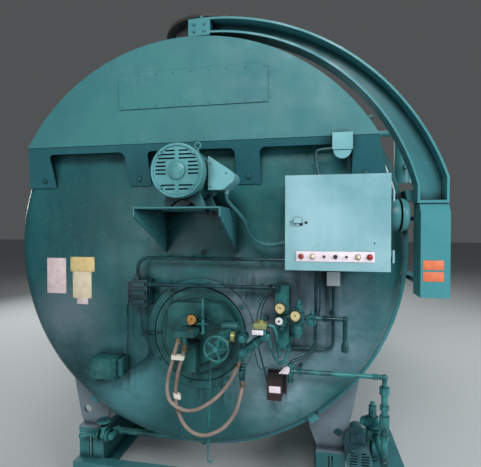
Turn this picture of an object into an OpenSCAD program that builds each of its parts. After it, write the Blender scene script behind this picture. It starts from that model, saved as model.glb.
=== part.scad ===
// Packaged firetube steam boiler. Its round front head carries the burner, the fan motor
// and the controls, and swings open on a curved davit arm.
// Millimetres. X runs to the right of a person who faces the head, Y runs along the boiler
// away from that person, Z is up. The origin lies on the floor below the head joint.

/* [Boiler body] */
// Height of the boiler axis above the floor
axis_z = 1660; // [1640:5:1720]
// Outer radius of the insulated jacket
jacket_r = 1225; // [1215:1:1235]
// Thickness of the jacket and its insulation
jacket_wall = 60; // [50:2:80]
// Length of the body between the two heads
body_len = 5200; // [4600:50:5800]
// Thickness of the two rings that the heads seat on
body_ring_t = 30; // [25:1:40]
// Depth of the smokebox, from the head joint to the front tube sheet
smokebox_d = 700; // [680:10:800]
// Thickness of a tube sheet
sheet_t = 25; // [20:1:32]
// Number of straps round the jacket
strap_count = 5; // [4:1:8]
// Width of one strap
strap_w = 50; // [40:5:70]
// Thickness of one strap
strap_t = 3; // [2:1:4]

/* [Furnace and tubes] */
// Mean radius of the corrugated furnace
furnace_r = 480; // [440:10:500]
// Depth of one furnace corrugation
furnace_wave = 38; // [30:2:44]
// Length of one furnace corrugation
furnace_pitch = 200; // [180:10:220]
// Wall of the furnace
furnace_wall = 16; // [12:1:20]
// Drop of the furnace axis below the boiler axis
furnace_drop = 430; // [420:5:450]
// Outer radius of a fire tube
tube_r = 31.5; // [28:0.5:34]
// Distance between neighbouring fire tubes
tube_pitch = 98; // [94:1:110]

/* [Front head] */
// Radial step from the head ring in to the dished head
head_step = 32; // [26:1:38]
// Depth of the dish in front of its ring
dish_d = 100; // [90:5:110]
// Radius of the rounded edge of the dish
dish_edge_r = 85; // [60:5:90]
// Thickness of the head plates
plate_t = 8; // [6:1:10]
// Thickness of the head ring
head_ring_t = 50; // [45:1:60]
// Height of the head ring and of the body rings over the jacket
ring_step = 35; // [30:1:40]
// Radial width of the rings
ring_w = 125; // [115:5:135]
// Thickness of the refractory lining behind the dish
lining_t = 70; // [50:5:80]

/* [Upper casing] */
// Depth of the fan casing in front of the dish
casing_d = 100; // [90:5:110]
// Height of the casing's lower fold above the boiler axis
fold_z = 626; // [616:2:636]
// Height of the sloping apron below the fold
apron_h = 240; // [230:5:250]
// Half width of the middle window in the apron
window_mid = 270; // [260:5:280]
// Width of the inner legs of the apron
leg_w = 145; // [130:5:160]
// Width of the outer windows
window_w = 515; // [500:5:530]
// Width of the fan access cover
cover_w = 900; // [860:10:940]
// Height of the fan access cover
cover_h = 215; // [200:5:230]

/* [Fan motor] */
// Height of the motor shaft above the boiler axis
motor_z = 406; // [400:1:412]
// Offset of the motor shaft from the middle of the head
motor_x = 54; // [44:1:60]
// Radius of the motor frame
motor_r = 138; // [130:1:142]
// Distance from the head face to the front of the motor
motor_reach = 450; // [430:5:470]
// Shaft height of the motor above its shelf
motor_foot = 178; // [170:1:182]
// Width of the motor shelf
shelf_w = 455; // [440:5:470]
// Height of the shelf's gussets at the head face
gusset_h = 258; // [240:5:270]

/* [Control cabinet] */
// Width of the cabinet
cabinet_w = 492; // [480:2:504]
// Height of the cabinet
cabinet_h = 462; // [450:2:470]
// Depth of the cabinet without its door
cabinet_d = 270; // [250:5:280]
// Left side of the cabinet from the middle of the head
cabinet_x = 582; // [572:2:592]
// Bottom of the cabinet below the boiler axis
cabinet_drop = 83; // [78:1:88]
// Thickness of the cabinet's sheet walls
cabinet_wall = 4; // [3:1:5]
// Depth of the folded door
door_d = 22; // [20:1:26]

/* [Burner] */
// Radius of the burner's mounting ring
burner_ring_r = 338; // [330:2:344]
// Radius of the burner's front plate
burner_plate_r = 284; // [276:1:290]
// Offset of the burner axis from the middle of the head
burner_x = 38; // [28:1:48]
// Drop of the burner axis below the boiler axis
burner_drop = 524; // [514:1:534]
// Radius of the handwheel's rim
wheel_r = 67; // [60:1:70]

/* [Davit] */
// Gap between the rings and the pivot housing
pivot_gap = 8; // [6:1:14]
// Distance of the pivot in front of the head joint
pivot_y = 200; // [190:1:210]
// Gap between the casing and the arm over it
arm_gap = 11; // [8:1:16]
// Height of the arm's channel at its tip
arm_h = 89; // [80:1:96]
// Width of the arm's channel at its foot
arm_foot_w = 155; // [150:1:160]
// Height over the boiler axis where the arm starts to curve
arm_bend = 350; // [330:5:370]
// Depth of the arm's channel
arm_d = 100; // [90:5:110]
// Thickness of the arm's plates
arm_t = 12; // [10:1:14]
// Height of the pivot housing
housing_h = 496; // [480:4:510]
// Width of the pivot housing
housing_w = 144; // [138:2:150]
// Radius of the pivot pin
pin_r = 38; // [34:1:39]

/* [Base] */
// Height of the skid beams
beam_h = 355; // [345:5:365]
// Width of the skid beams' flanges
beam_w = 190; // [180:5:200]
// Thickness of the skid beams' flanges
beam_flange_t = 18; // [14:1:22]
// Thickness of the skid beams' webs
beam_web_t = 12; // [10:1:16]
// Distance of each skid beam from the middle
beam_x = 832; // [825:1:840]
// Thickness of the saddle plates
saddle_t = 20; // [16:1:24]

/* [Top fittings] */
// Inner radius of the flue outlet
flue_r = 290; // [270:5:300]
// Height of the flue outlet above the jacket
flue_h = 300; // [280:5:340]
// Inner radius of the steam nozzle
steam_r = 100; // [90:2:104]
// Height of the steam nozzle above the jacket
steam_h = 260; // [240:5:280]

/* [Hidden] */

TEAL = "#3f7f80";
PALE_TEAL = "#8fbcc0";
DARK = "#23383c";
$fn = 64;
round_fn = 240;                           // sides of the large drums and rings

seat = 0.3;                               // gap that keeps curved or moving faces apart
dish_y = -head_ring_t - dish_d;           // front face of the dish
casing_y = dish_y - casing_d;             // front face of the upper casing
ring_r = jacket_r + ring_step;            // outer radius of the rings
head_r = ring_r - head_step;              // outer radius of the dished heads
casing_r = head_r + seat + plate_t;       // outer radius of the casing's rim
body_in_r = jacket_r - jacket_wall;       // inner radius of the jacket
body_end = body_ring_t + body_len;        // back of the jacket
cabinet_z = axis_z - cabinet_drop;        // bottom of the cabinet
cabinet_y = dish_y - 60;                  // back of the cabinet, on its brackets
door_y = cabinet_y - cabinet_d;           // front rim of the cabinet
burner_z = axis_z - burner_drop;
shelf_z = axis_z + motor_z - motor_foot;
apron_z = axis_z + fold_z;
pivot_x = ring_r + pivot_gap + housing_w / 2;
arm_y = -pivot_y;                         // middle of the arm's channel
housing_top = axis_z + 254;
housing_z = housing_top - housing_h;

// Round bar or pipe from point a to point b
module bar(a, b, r) {
    d = b - a;
    len = norm(d);
    translate(a)
        rotate([0, acos(d[2] / len), atan2(d[1], d[0])])
            cylinder(h = len, r = r);
}

// Pipe through a list of points with a fitting at each corner
module pipe_run(points, r, fitting = 1.35) {
    for (i = [0 : len(points) - 2])
        bar(points[i], points[i + 1], r);
    if (len(points) > 2)
        for (i = [1 : len(points) - 2])
            translate(points[i])
                sphere(r = r * fitting);
}

// Cylinder that points towards the viewer, from its back face at y to its front face
module boss(x, y, z, r, h) {
    translate([x, y, z])
        rotate([90, 0, 0])
            cylinder(h = h, r = r);
}

// Box given by its lowest and highest corners
module block(low, high) {
    translate(low)
        cube(high - low);
}

// Points of a smooth line through hand-set points
function blend(a, b, c, d, t) =
    0.5 * ((2 * b) + (c - a) * t + (2 * a - 5 * b + 4 * c - d) * t * t
        + (3 * b - a - 3 * c + d) * t * t * t);
function smooth(points, steps) = [
    for (i = [0 : len(points) - 2], s = [0 : steps - 1])
        blend(points[max(i - 1, 0)], points[i], points[i + 1],
            points[min(i + 2, len(points) - 1)], s / steps),
    points[len(points) - 1]
];
function unit(v) = v / norm(v);
function tangent(path, i) =
    unit(path[min(i + 1, len(path) - 1)] - path[max(i - 1, 0)]);
function side(t) = unit(cross(t, abs(t[1]) < 0.9 ? [0, 1, 0] : [1, 0, 0]));

// Flexible line of radius r along the points, with the given number of sides
module flex(points, r, steps = 3, sides = 8) {
    path = smooth(points, steps);
    n = len(path);
    last_point = len(points) - 1;
    first_dir = unit(points[1] - points[0]);
    last_dir = unit(points[last_point] - points[last_point - 1]);
    rings = [
        for (i = [0 : n - 1])
            let (t = i == 0 ? first_dir : i == n - 1 ? last_dir : tangent(path, i),
                u = side(t), v = cross(t, u))
                for (k = [0 : sides - 1])
                    path[i] + r * (cos(360 * k / sides) * u + sin(360 * k / sides) * v)
    ];
    walls = [
        for (i = [0 : n - 2], k = [0 : sides - 1])
            let (a = i * sides + k, b = i * sides + (k + 1) % sides)
                each [[a, b, b + sides], [a, b + sides, a + sides]]
    ];
    first = [for (k = [1 : sides - 2]) [0, k + 1, k]];
    last = [for (k = [1 : sides - 2]) [(n - 1) * sides, (n - 1) * sides + k, (n - 1) * sides + k + 1]];
    polyhedron(points = rings, faces = concat(walls, first, last), convexity = 10);
}

// Ring round the boiler axis between two y positions
module axis_ring(y, t, r_out, r_in) {
    translate([0, y + t, axis_z])
        rotate([90, 0, 0])
            difference() {
                cylinder(h = t, r = r_out, $fn = round_fn);
                translate([0, 0, -1])
                    cylinder(h = t + 2, r = r_in, $fn = round_fn);
            }
}

// Insulated jacket with the opening of the flue outlet
module jacket() {
    color(TEAL)
        difference() {
            axis_ring(body_ring_t, body_len, jacket_r, body_in_r);
            translate([0, flue_y, axis_z + body_in_r / 2])
                cylinder(h = jacket_r, r = flue_r);
        }
}

flue_y = 390;
strap_first = 820;
strap_last = 250;                         // distance of the last strap from the jacket's end

module jacket_straps() {
    step = (body_len - strap_first - strap_last) / (strap_count - 1);
    color(DARK)
        for (i = [0 : strap_count - 1])
            axis_ring(strap_first + i * step, strap_w, jacket_r + seat + strap_t, jacket_r + seat);
}

module body_rings() {
    color(TEAL)
        for (y = [0, body_end])
            axis_ring(y, body_ring_t, ring_r, ring_r - ring_w);
}

// Fire tubes sit in rows above and beside the furnace
tube_rows = 13;
tube_top = body_in_r - 110;
function in_sheet(x, z) = norm([x, z]) < tube_top;
function clear_of_furnace(x, z) = norm([x, z + furnace_drop]) > furnace_r + furnace_wave + 70;
tube_places = [
    for (row = [-5 : tube_rows - 6], col = [-12 : 12])
        let (x = (col + (row % 2 == 0 ? 0 : 0.5)) * tube_pitch, z = row * tube_pitch * sin(60))
            if (in_sheet(x, z) && clear_of_furnace(x, z) && z < 620 && abs(x) > 40)
                [x, z]
];

tube_end_d = 15;

// The tube ends show as recesses in the sheet
module front_tube_sheet() {
    color("dimgray")
        translate([0, smokebox_d + sheet_t, axis_z])
            rotate([90, 0, 0]) {
                linear_extrude(sheet_t - tube_end_d)
                    sheet_outline();
                translate([0, 0, sheet_t - tube_end_d])
                    linear_extrude(tube_end_d)
                        difference() {
                            sheet_outline();
                            for (p = tube_places)
                                translate(p)
                                    circle(r = tube_r);
                        }
            }
}

module sheet_outline() {
    difference() {
        circle(r = body_in_r - seat, $fn = round_fn);
        translate([0, -furnace_drop])
            circle(r = furnace_r + furnace_wave / 2 + seat);
    }
}

// Corrugated furnace tube, closed at its far end
module furnace() {
    far = body_len - 500;
    near = smokebox_d - 40;
    steps = 6;
    waves = floor((far - near - 200) / furnace_pitch);
    wavy = [
        for (i = [0 : waves * steps])
            [furnace_r + furnace_wave / 2 * cos(360 * i / steps), 100 + i * furnace_pitch / steps]
    ];
    outer = concat([[furnace_r + furnace_wave / 2, 0]], wavy,
        [[furnace_r + furnace_wave / 2, far - near]]);
    color("#6b4a3a")
        translate([0, near, axis_z - furnace_drop])
            rotate([-90, 0, 0])
                rotate_extrude()
                    polygon(concat(outer, [[0, far - near], [0, far - near - furnace_wall]],
                        [for (i = [len(outer) - 1 : -1 : 0])
                            [outer[i][0] - furnace_wall,
                                min(outer[i][1], far - near - furnace_wall)]]));
}

// Half section of a dished head, with its rounded edge
module dish_section(r, depth, edge, t) {
    difference() {
        union() {
            square([r - edge, depth]);
            square([r, depth - edge]);
            translate([r - edge, depth - edge])
                circle(r = edge);
        }
        translate([-1, -1])
            square([r - edge + 1, depth - t + 1]);
        translate([-1, -1])
            square([r - t + 1, depth - edge + 1]);
        translate([r - edge, depth - edge])
            circle(r = edge - t);
    }
}

module dish(r, depth, edge, t) {
    rotate([90, 0, 0])
        rotate_extrude()
            intersection() {
                dish_section(r, depth, edge, t);
                square([r + 1, depth + 1]);
            }
}

rear_dish_d = 150;
rear_plug_r = 150;

module rear_head() {
    color(TEAL)
        translate([0, body_end + body_ring_t, axis_z]) {
            mirror([0, 1, 0]) {
                translate([0, -head_ring_t, 0])
                    dish(head_r, rear_dish_d, dish_edge_r, plate_t);
                rotate([90, 0, 0])
                    difference() {
                        cylinder(h = head_ring_t, r = ring_r, $fn = round_fn);
                        translate([0, 0, -1])
                            cylinder(h = head_ring_t + 2, r = ring_r - ring_w, $fn = round_fn);
                    }
                boss(0, -head_ring_t - rear_dish_d, 0, rear_plug_r, 40);
                boss(0, -head_ring_t - rear_dish_d - 40, 0, 40, 60);
            }
        }
}

module beam_section() {
    translate([-beam_w / 2, 0])
        square([beam_w, beam_flange_t]);
    translate([-beam_w / 2, beam_h - beam_flange_t])
        square([beam_w, beam_flange_t]);
    translate([-beam_web_t / 2, 0])
        square([beam_web_t, beam_h]);
}

beam_front = 60;                          // distance of the beams' front ends behind the joint
beam_len = body_len - 60;

// Two I-beams, their front ends closed beside the web
module skid_beams() {
    inset = 4;
    gap = 15;
    end_t = 10;
    color(TEAL)
        for (s = [-1, 1]) {
            translate([s * beam_x, beam_front + beam_len, 0])
                rotate([90, 0, 0])
                    linear_extrude(beam_len)
                        beam_section();
            for (x = [s * beam_x - beam_w / 2 + inset, s * beam_x + gap])
                block([x, beam_front, beam_flange_t - 1],
                    [x + beam_w / 2 - inset - gap, beam_front + end_t, beam_h - beam_flange_t + 1]);
        }
}

cross_h = 200;
cross_w = 75;
cross_t = 9;
cross_count = 3;
front_cross_h = 150;

// Channels between the beams' webs, and one across their front ends
module skid_crossmembers() {
    span = 2 * beam_x - beam_web_t;
    step = (beam_len - 200) / cross_count;
    color(TEAL) {
        for (i = [1 : cross_count])
            translate([-span / 2, beam_front + i * step, beam_flange_t])
                cross_channel(span, cross_h);
        translate([-beam_x - beam_w / 2, beam_front - cross_w, 0])
            cross_channel(2 * beam_x + beam_w, front_cross_h);
    }
}

module cross_channel(span, h) {
    rotate([90, 0, 90])
        linear_extrude(span)
            difference() {
                square([cross_w, h]);
                translate([cross_t, cross_t])
                    square([cross_w, h - 2 * cross_t]);
            }
}

saddle_hole_r = 28;

// Flared plate that carries the shell on a beam, with its foot plate and a rib
module saddle(y) {
    foot_t = 16;
    translate([0, y, 0]) {
        difference() {
            translate([0, saddle_t, 0])
                rotate([90, 0, 0])
                    linear_extrude(saddle_t)
                        difference() {
                            polygon([
                                [beam_x - 85, beam_h + foot_t], [beam_x + 78, beam_h + foot_t],
                                [beam_x + 98, beam_h + 60], [beam_x + 232, axis_z - 560],
                                [beam_x - 180, axis_z - 700], [beam_x - 135, beam_h + 150]
                            ]);
                            translate([0, axis_z])
                                circle(r = jacket_r + seat, $fn = round_fn);
                            translate([beam_x + 50, beam_h + 115])
                                circle(r = saddle_hole_r);
                        }
        }
        block([beam_x - 90, -40, beam_h], [beam_x + 90, 160, beam_h + foot_t]);
        difference() {
            block([beam_x - 8, saddle_t, beam_h + foot_t], [beam_x + 8, 150, axis_z - 600]);
            translate([0, saddle_t - 1, axis_z])
                rotate([-90, 0, 0])
                    cylinder(h = 200, r = jacket_r + seat, $fn = round_fn);
        }
    }
}

module saddle_pair(y) {
    color(TEAL) {
        saddle(y);
        mirror([1, 0, 0])
            saddle(y);
    }
}

front_saddle_y = 100;                     // front faces of the front saddle plates
rear_saddle_inset = 700;                  // distance of the rear saddles from the jacket's back

module front_saddles() {
    saddle_pair(front_saddle_y);
}

module rear_saddles() {
    saddle_pair(body_end - rear_saddle_inset);
}

flange_holes = 16;
flange_t = 20;

// Flanged tube that stands on the jacket
module flanged_stub(y, r_in, wall, h, flange_r, bolt_r, count, hole_r) {
    top = axis_z + jacket_r + h;
    difference() {
        union() {
            translate([0, y, axis_z + jacket_r - jacket_wall])
                cylinder(h = h + jacket_wall, r = r_in + wall);
            translate([0, y, top - flange_t])
                cylinder(h = flange_t, r = flange_r);
        }
        translate([0, y, axis_z])
            rotate([90, 0, 0])
                cylinder(h = 3 * flange_r, r = jacket_r + seat, center = true, $fn = round_fn);
        translate([0, y, axis_z])
            cylinder(h = jacket_r + h + 1, r = r_in);
        for (i = [0 : count - 1])
            translate([0, y, top])
                rotate([0, 0, 360 * (i + 0.5) / count])
                    translate([bolt_r, 0, 0])
                        cylinder(h = 3 * flange_t, r = hole_r, center = true);
    }
}

module flue_outlet() {
    color("dimgray")
        flanged_stub(flue_y, flue_r, 6, flue_h, flue_r + 65, flue_r + 40, flange_holes, 8);
}

steam_y = body_end / 2 - 115;
valve_step = 750;                         // distance of each safety valve from the steam nozzle

module steam_nozzle() {
    color(TEAL)
        flanged_stub(steam_y, steam_r, 12, steam_h, steam_r + 72, steam_r + 50, 8, 11);
}

// Two safety valves with their side outlets
module safety_valves() {
    color("#7d5b35")
        for (y = [steam_y - valve_step, steam_y + valve_step])
            difference() {
                translate([0, y, 0]) {
                    translate([0, 0, axis_z + jacket_r - 20])
                        cylinder(h = 140, r = 40);
                    translate([0, 0, axis_z + jacket_r + 120])
                        cylinder(h = 110, r = 62);
                    translate([0, 0, axis_z + jacket_r + 230])
                        cylinder(h = 110, r = 36);
                    translate([0, 0, axis_z + jacket_r + 175])
                        rotate([0, 90, 0])
                            cylinder(h = 130, r = 45);
                }
                translate([0, y, axis_z])
                    rotate([90, 0, 0])
                        cylinder(h = 200, r = jacket_r + seat, center = true, $fn = round_fn);
            }
}

manway_back = 1030;
lug_front = 1150;
lug_back = 500;

module manway() {
    y = body_end - manway_back;
    color(TEAL)
        difference() {
            union() {
                translate([0, y, axis_z + jacket_r - 60])
                    cylinder(h = 160, r = 230);
                translate([0, y, axis_z + jacket_r + 100])
                    cylinder(h = 22, r = 280);
                translate([0, y, axis_z + jacket_r + 122])
                    cylinder(h = 24, r = 280);
            }
            translate([0, y, axis_z])
                rotate([90, 0, 0])
                    cylinder(h = 700, r = jacket_r + seat, center = true, $fn = round_fn);
        }
}

module lifting_lugs() {
    color(TEAL)
        for (y = [lug_front, body_end - lug_back])
            difference() {
                translate([-12, y - 90, axis_z + jacket_r - 30])
                    cube([24, 180, 170]);
                translate([0, y, axis_z + jacket_r + 85])
                    rotate([0, 90, 0])
                        cylinder(h = 60, r = 30, center = true);
                translate([0, y, axis_z])
                    rotate([90, 0, 0])
                        cylinder(h = 300, r = jacket_r + seat, center = true, $fn = round_fn);
            }
}

column_y = 420;
column_x = jacket_r + 105;
column_z = axis_z + 430;
column_h = 420;

glass_y = column_y - 110;
glass_len = 196;
glass_low = column_z + 112;
glass_high = glass_low + glass_len;

// Water column with its connections to the shell and the two cocks of its gauge glass
module water_column() {
    color(TEAL)
        difference() {
            union() {
                translate([column_x, column_y, column_z])
                    cylinder(h = column_h, r = 55);
                translate([column_x, column_y, column_z + column_h])
                    cylinder(h = 16, r = 75);
                for (dz = [60, 350])
                    bar([column_x - 900, column_y, column_z + dz], [column_x, column_y, column_z + dz], 21);
                for (z = [glass_low - 12, glass_high + 12]) {
                    bar([column_x, column_y, z], [column_x, glass_y, z], 12);
                    translate([column_x, glass_y, z])
                        cube([32, 32, 24], center = true);
                }
            }
            translate([0, column_y, axis_z])
                rotate([90, 0, 0])
                    cylinder(h = 400, r = jacket_r + seat, center = true, $fn = round_fn);
        }
}

module gauge_glass() {
    color("silver")
        translate([column_x, glass_y, glass_low])
            cylinder(h = glass_high - glass_low, r = 8);
}

// Fixed pivot housing of the davit, held off the shell by two arms
module davit_housing() {
    half = housing_w / 2;
    chamfer = [32, 50];
    color(TEAL)
        difference() {
            union() {
                translate([pivot_x - half, -pivot_y, housing_z])
                    rotate([90, 0, 90])
                        linear_extrude(housing_w)
                            polygon([
                                [-half, 0], [half, 0], [half, housing_h],
                                [chamfer[0] - half, housing_h], [-half, housing_h - chamfer[1]]
                            ]);
                for (z = [housing_z + 60, housing_top - 90])
                    difference() {
                        translate([0, 0, z])
                            linear_extrude(24)
                                polygon([
                                    [pivot_x - half + 8, -pivot_y], [pivot_x + half, -pivot_y],
                                    [pivot_x + half, 60], [jacket_r - 100, 420],
                                    [jacket_r - 100, body_ring_t + 20],
                                    [ring_r + 12, body_ring_t + 20], [ring_r + 12, -pivot_y + half]
                                ]);
                        translate([0, 0, axis_z])
                            rotate([90, 0, 0])
                                cylinder(h = 1200, r = jacket_r + seat, center = true, $fn = round_fn);
                    }
            }
            translate([pivot_x, -pivot_y, housing_z + 15])
                cylinder(h = housing_h, r = pin_r);
        }
}

pump_x = 982;
pump_z = beam_h + 87;
pump_r = 74;
pump_front = -150;
pump_len = 230;
shelf_reach = 1260;
shelf_back = 420;

shelf_x = beam_x + beam_w / 2;            // outer edge of the right beam's flange
shelf_z0 = beam_h - 10;

// Side shelf for the pump, carried by two brackets from the beam's web
module pump_shelf() {
    color(TEAL) {
        block([shelf_x, pump_front + 10, shelf_z0], [shelf_reach, shelf_back, beam_h]);
        for (y = [beam_front + 60, beam_front + 260]) {
            block([beam_x + beam_web_t / 2, y, beam_h - beam_flange_t - 60],
                [shelf_reach - 60, y + 30, beam_h - beam_flange_t]);
            block([shelf_x, y, beam_h - beam_flange_t - 1], [shelf_reach - 60, y + 30, shelf_z0 + 1]);
        }
    }
}

// Air pump motor with its round vented face, feet and pump head
module air_pump() {
    vent = 11;
    back = pump_front + pump_len;
    color(TEAL) {
        difference() {
            boss(pump_x, back, pump_z, pump_r, pump_len);
            for (row = [-3 : 3], s = [-1, 1])
                translate([pump_x + (s > 0 ? 12 : -54), pump_front - 1, pump_z + 16 * row - 3])
                    cube([abs(row) == 3 ? 24 : 42, vent, 7]);
        }
        block([pump_x - 60, pump_front + 40, beam_h], [pump_x + 60, back - 40, pump_z - 50]);
        boss(pump_x + 23, back + 160, pump_z, 45, 160);
        block([pump_x - 40, pump_front + 60, pump_z + pump_r - 12],
            [pump_x + 40, pump_front + 150, pump_z + pump_r + 48]);
    }
}

regulator_x = 1085;
regulator_y = 60;
regulator_z = 572;

// Diaphragm regulator on its leg, with the square body that the riser enters
module fuel_regulator() {
    bowl_r = 70;
    flange_r = 76;
    color(TEAL)
        translate([regulator_x, regulator_y, 0]) {
            translate([0, 0, beam_h])
                cylinder(h = 10, r = 40);
            translate([0, 0, beam_h])
                cylinder(h = regulator_z - 90 - beam_h, r = 17);
            block([-35, -35, regulator_z - 95], [35, 35, regulator_z - 30]);
            translate([0, 0, regulator_z - 34])
                cylinder(h = 34, r1 = 36, r2 = bowl_r);
            translate([0, 0, regulator_z])
                cylinder(h = 12, r = flange_r);
            for (i = [0 : 7])
                rotate([0, 0, 45 * i])
                    translate([flange_r - 8, 0, regulator_z - 5])
                        cylinder(h = 22, r = 5, $fn = 6);
            translate([0, 0, regulator_z + 12])
                cylinder(h = 30, r1 = bowl_r, r2 = 34);
            translate([0, 0, regulator_z + 42])
                cylinder(h = 66, r = 24);
            translate([0, 0, regulator_z + 108])
                cylinder(h = 22, r = 14);
        }
}

riser_x = regulator_x + 13;
riser_y = -250;
riser_top = 925;
riser_z = regulator_z - 62;

// Riser from the regulator to the union below the head's fuel line
module fuel_riser() {
    color(TEAL) {
        pipe_run([[riser_x, riser_y, riser_top], [riser_x, riser_y, riser_z],
            [riser_x, regulator_y - 35, riser_z]], 17);
        translate([riser_x, riser_y, riser_top - 40])
            cylinder(h = 40, r = 27, $fn = 6);
        translate([riser_x, riser_y, 700])
            cylinder(h = 70, r = 26);
        for (z = [640, 800])
            translate([riser_x, riser_y, z])
                cylinder(h = 26, r = 25, $fn = 6);
    }
}

blow_x = -700;
blow_y = 76;
blow_z = 350;
valve_y = 5;

// Blowdown pipe from the bottom of the shell to a valve beside the left beam
module blowdown_valve() {
    turn_x = blow_x + 60;
    elbow = 26;
    color(TEAL)
        difference() {
            union() {
                bar([0, blow_y, axis_z - jacket_r + 30], [0, blow_y, blow_z - elbow], 20);
                bar([elbow, blow_y, blow_z], [turn_x - elbow, blow_y, blow_z], 20);
                bar([turn_x, blow_y + elbow, blow_z], [turn_x, valve_y - elbow, blow_z], 20);
                bar([turn_x, valve_y, blow_z], [blow_x - 70, valve_y, blow_z], 20);
                bar([blow_x - 64, valve_y, blow_z], [blow_x - 170, valve_y - 24, blow_z - 12], 18);
                translate([blow_x - 84, valve_y, blow_z])
                    rotate([0, 90, 0])
                        cylinder(h = 36, r = 30, $fn = 6);
                for (x = [blow_x - 36, blow_x + 28])
                    translate([x, valve_y, blow_z])
                        rotate([0, 90, 0])
                            cylinder(h = 10, r = 44);
                translate([blow_x, valve_y, blow_z])
                    sphere(r = 34);
                translate([blow_x, valve_y, blow_z + 10])
                    cylinder(h = 52, r = 24);
                translate([blow_x, valve_y, blow_z + 60])
                    cylinder(h = 42, r = 7);
                translate([blow_x, valve_y, blow_z + 94])
                    cylinder(h = 8, r = 48);
            }
            translate([0, 0, axis_z])
                rotate([90, 0, 0])
                    cylinder(h = 800, r = jacket_r + seat, center = true, $fn = round_fn);
        }
}

lug_angles = [-125, -55];                 // clamp lugs at the lower edge
pad_x = ring_r - 34;
pad_z = axis_z + 186;
pad_r = 26;
pad_h = 96;
pad_d = 62;

// Head ring with two clamp lugs and the rounded pad beside the pivot
module head_ring() {
    lug_reach = 18;
    color(TEAL) {
        axis_ring(-head_ring_t, head_ring_t - seat, ring_r, ring_r - ring_w);
        for (a = lug_angles)
            translate([0, -seat, axis_z])
                rotate([90, 0, 0])
                    rotate([0, 0, a])
                        translate([ring_r - 30, -30, 0])
                            cube([30 + lug_reach, 60, head_ring_t + 14]);
        difference() {
            union() {
                for (z = [pad_z - pad_h / 2, pad_z + pad_h / 2])
                    boss(pad_x, -head_ring_t + 1, z, pad_r, pad_d);
                block([pad_x - pad_r, -head_ring_t + 1 - pad_d, pad_z - pad_h / 2],
                    [pad_x + pad_r, -head_ring_t + 1, pad_z + pad_h / 2]);
            }
            boss(0, 0, axis_z, head_r + seat, 200, $fn = round_fn);
        }
    }
}

module head_dish() {
    color(TEAL)
        difference() {
            translate([0, -head_ring_t, axis_z])
                dish(head_r, dish_d, dish_edge_r, plate_t);
            boss(burner_x, 0, burner_z, throat_r, 400);
        }
}

throat_r = 230;

module head_lining() {
    color("#b9a88c")
        difference() {
            translate([0, dish_y + plate_t + lining_t, axis_z])
                rotate([90, 0, 0])
                    cylinder(h = lining_t, r = head_r - dish_edge_r - 60, $fn = round_fn);
            boss(burner_x, 100, burner_z, throat_r, 400);
        }
}

tab_angle = 35.5;

// Fan casing: the part of a shallow drum above its fold, with a small tab on its rim
module upper_casing() {
    depth = casing_d + dish_d;
    color(TEAL) {
        intersection() {
            translate([0, -head_ring_t, axis_z])
                rotate([90, 0, 0])
                    difference() {
                        cylinder(h = depth, r = casing_r, $fn = round_fn);
                        translate([0, 0, -1])
                            cylinder(h = depth - plate_t + 1, r = head_r + seat, $fn = round_fn);
                    }
            block([-casing_r - 1, casing_y - 1, apron_z], [casing_r + 1, 1, axis_z + casing_r + 1]);
        }
        translate([0, casing_y + 60, axis_z])
            rotate([90, 0, 0])
                rotate([0, 0, tab_angle])
                    translate([casing_r - 4, -6, 0])
                        cube([30, 12, 40]);
    }
}

apron_tilt = atan2(casing_d - plate_t, apron_h);
apron_len = (casing_d - seat - plate_t * cos(apron_tilt)) / sin(apron_tilt);

// Sloping apron under the fold, with three windows between its four legs
module casing_apron() {
    length = apron_len;
    half = sqrt(casing_r * casing_r - fold_z * fold_z) - 4;
    inner = window_mid + leg_w;
    flare = 66;
    color(TEAL)
        translate([0, casing_y, apron_z - plate_t * sin(apron_tilt) - seat])
            rotate([90 + apron_tilt, 0, 0])
                mirror([0, 1, 0])
                    translate([0, 0, -plate_t])
                        linear_extrude(plate_t)
                            difference() {
                                polygon([
                                    [-half, 0], [half, 0], [half + flare, length], [-half - flare, length]
                                ]);
                                window(-window_mid, window_mid, length);
                                for (s = [0, 1])
                                    mirror([s, 0])
                                        window(inner, inner + window_w, length);
                                for (s = [-1, 1], x = [window_mid + leg_w / 2, half - 60])
                                    translate([s * x, length - 40])
                                        circle(r = 15);
                            }
}

module window(x1, x2, length) {
    top = 42;
    corner = 34;
    translate([x1 + corner, top + corner])
        circle(r = corner);
    translate([x2 - corner, top + corner])
        circle(r = corner);
    translate([x1 + corner, top])
        square([x2 - x1 - 2 * corner, corner + 1]);
    translate([x1, top + corner])
        square([x2 - x1, length]);
}

cover_x = 16;
cover_t = 6;
cover_rise = 206;                         // height of the cover over the fold

module access_cover() {
    color(TEAL)
        block([cover_x - cover_w / 2, casing_y - cover_t, apron_z + cover_rise],
            [cover_x + cover_w / 2, casing_y, apron_z + cover_rise + cover_h]);
}

motor_y = dish_y - motor_reach;           // front of the motor's end bell
bell_d = 46;

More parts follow.
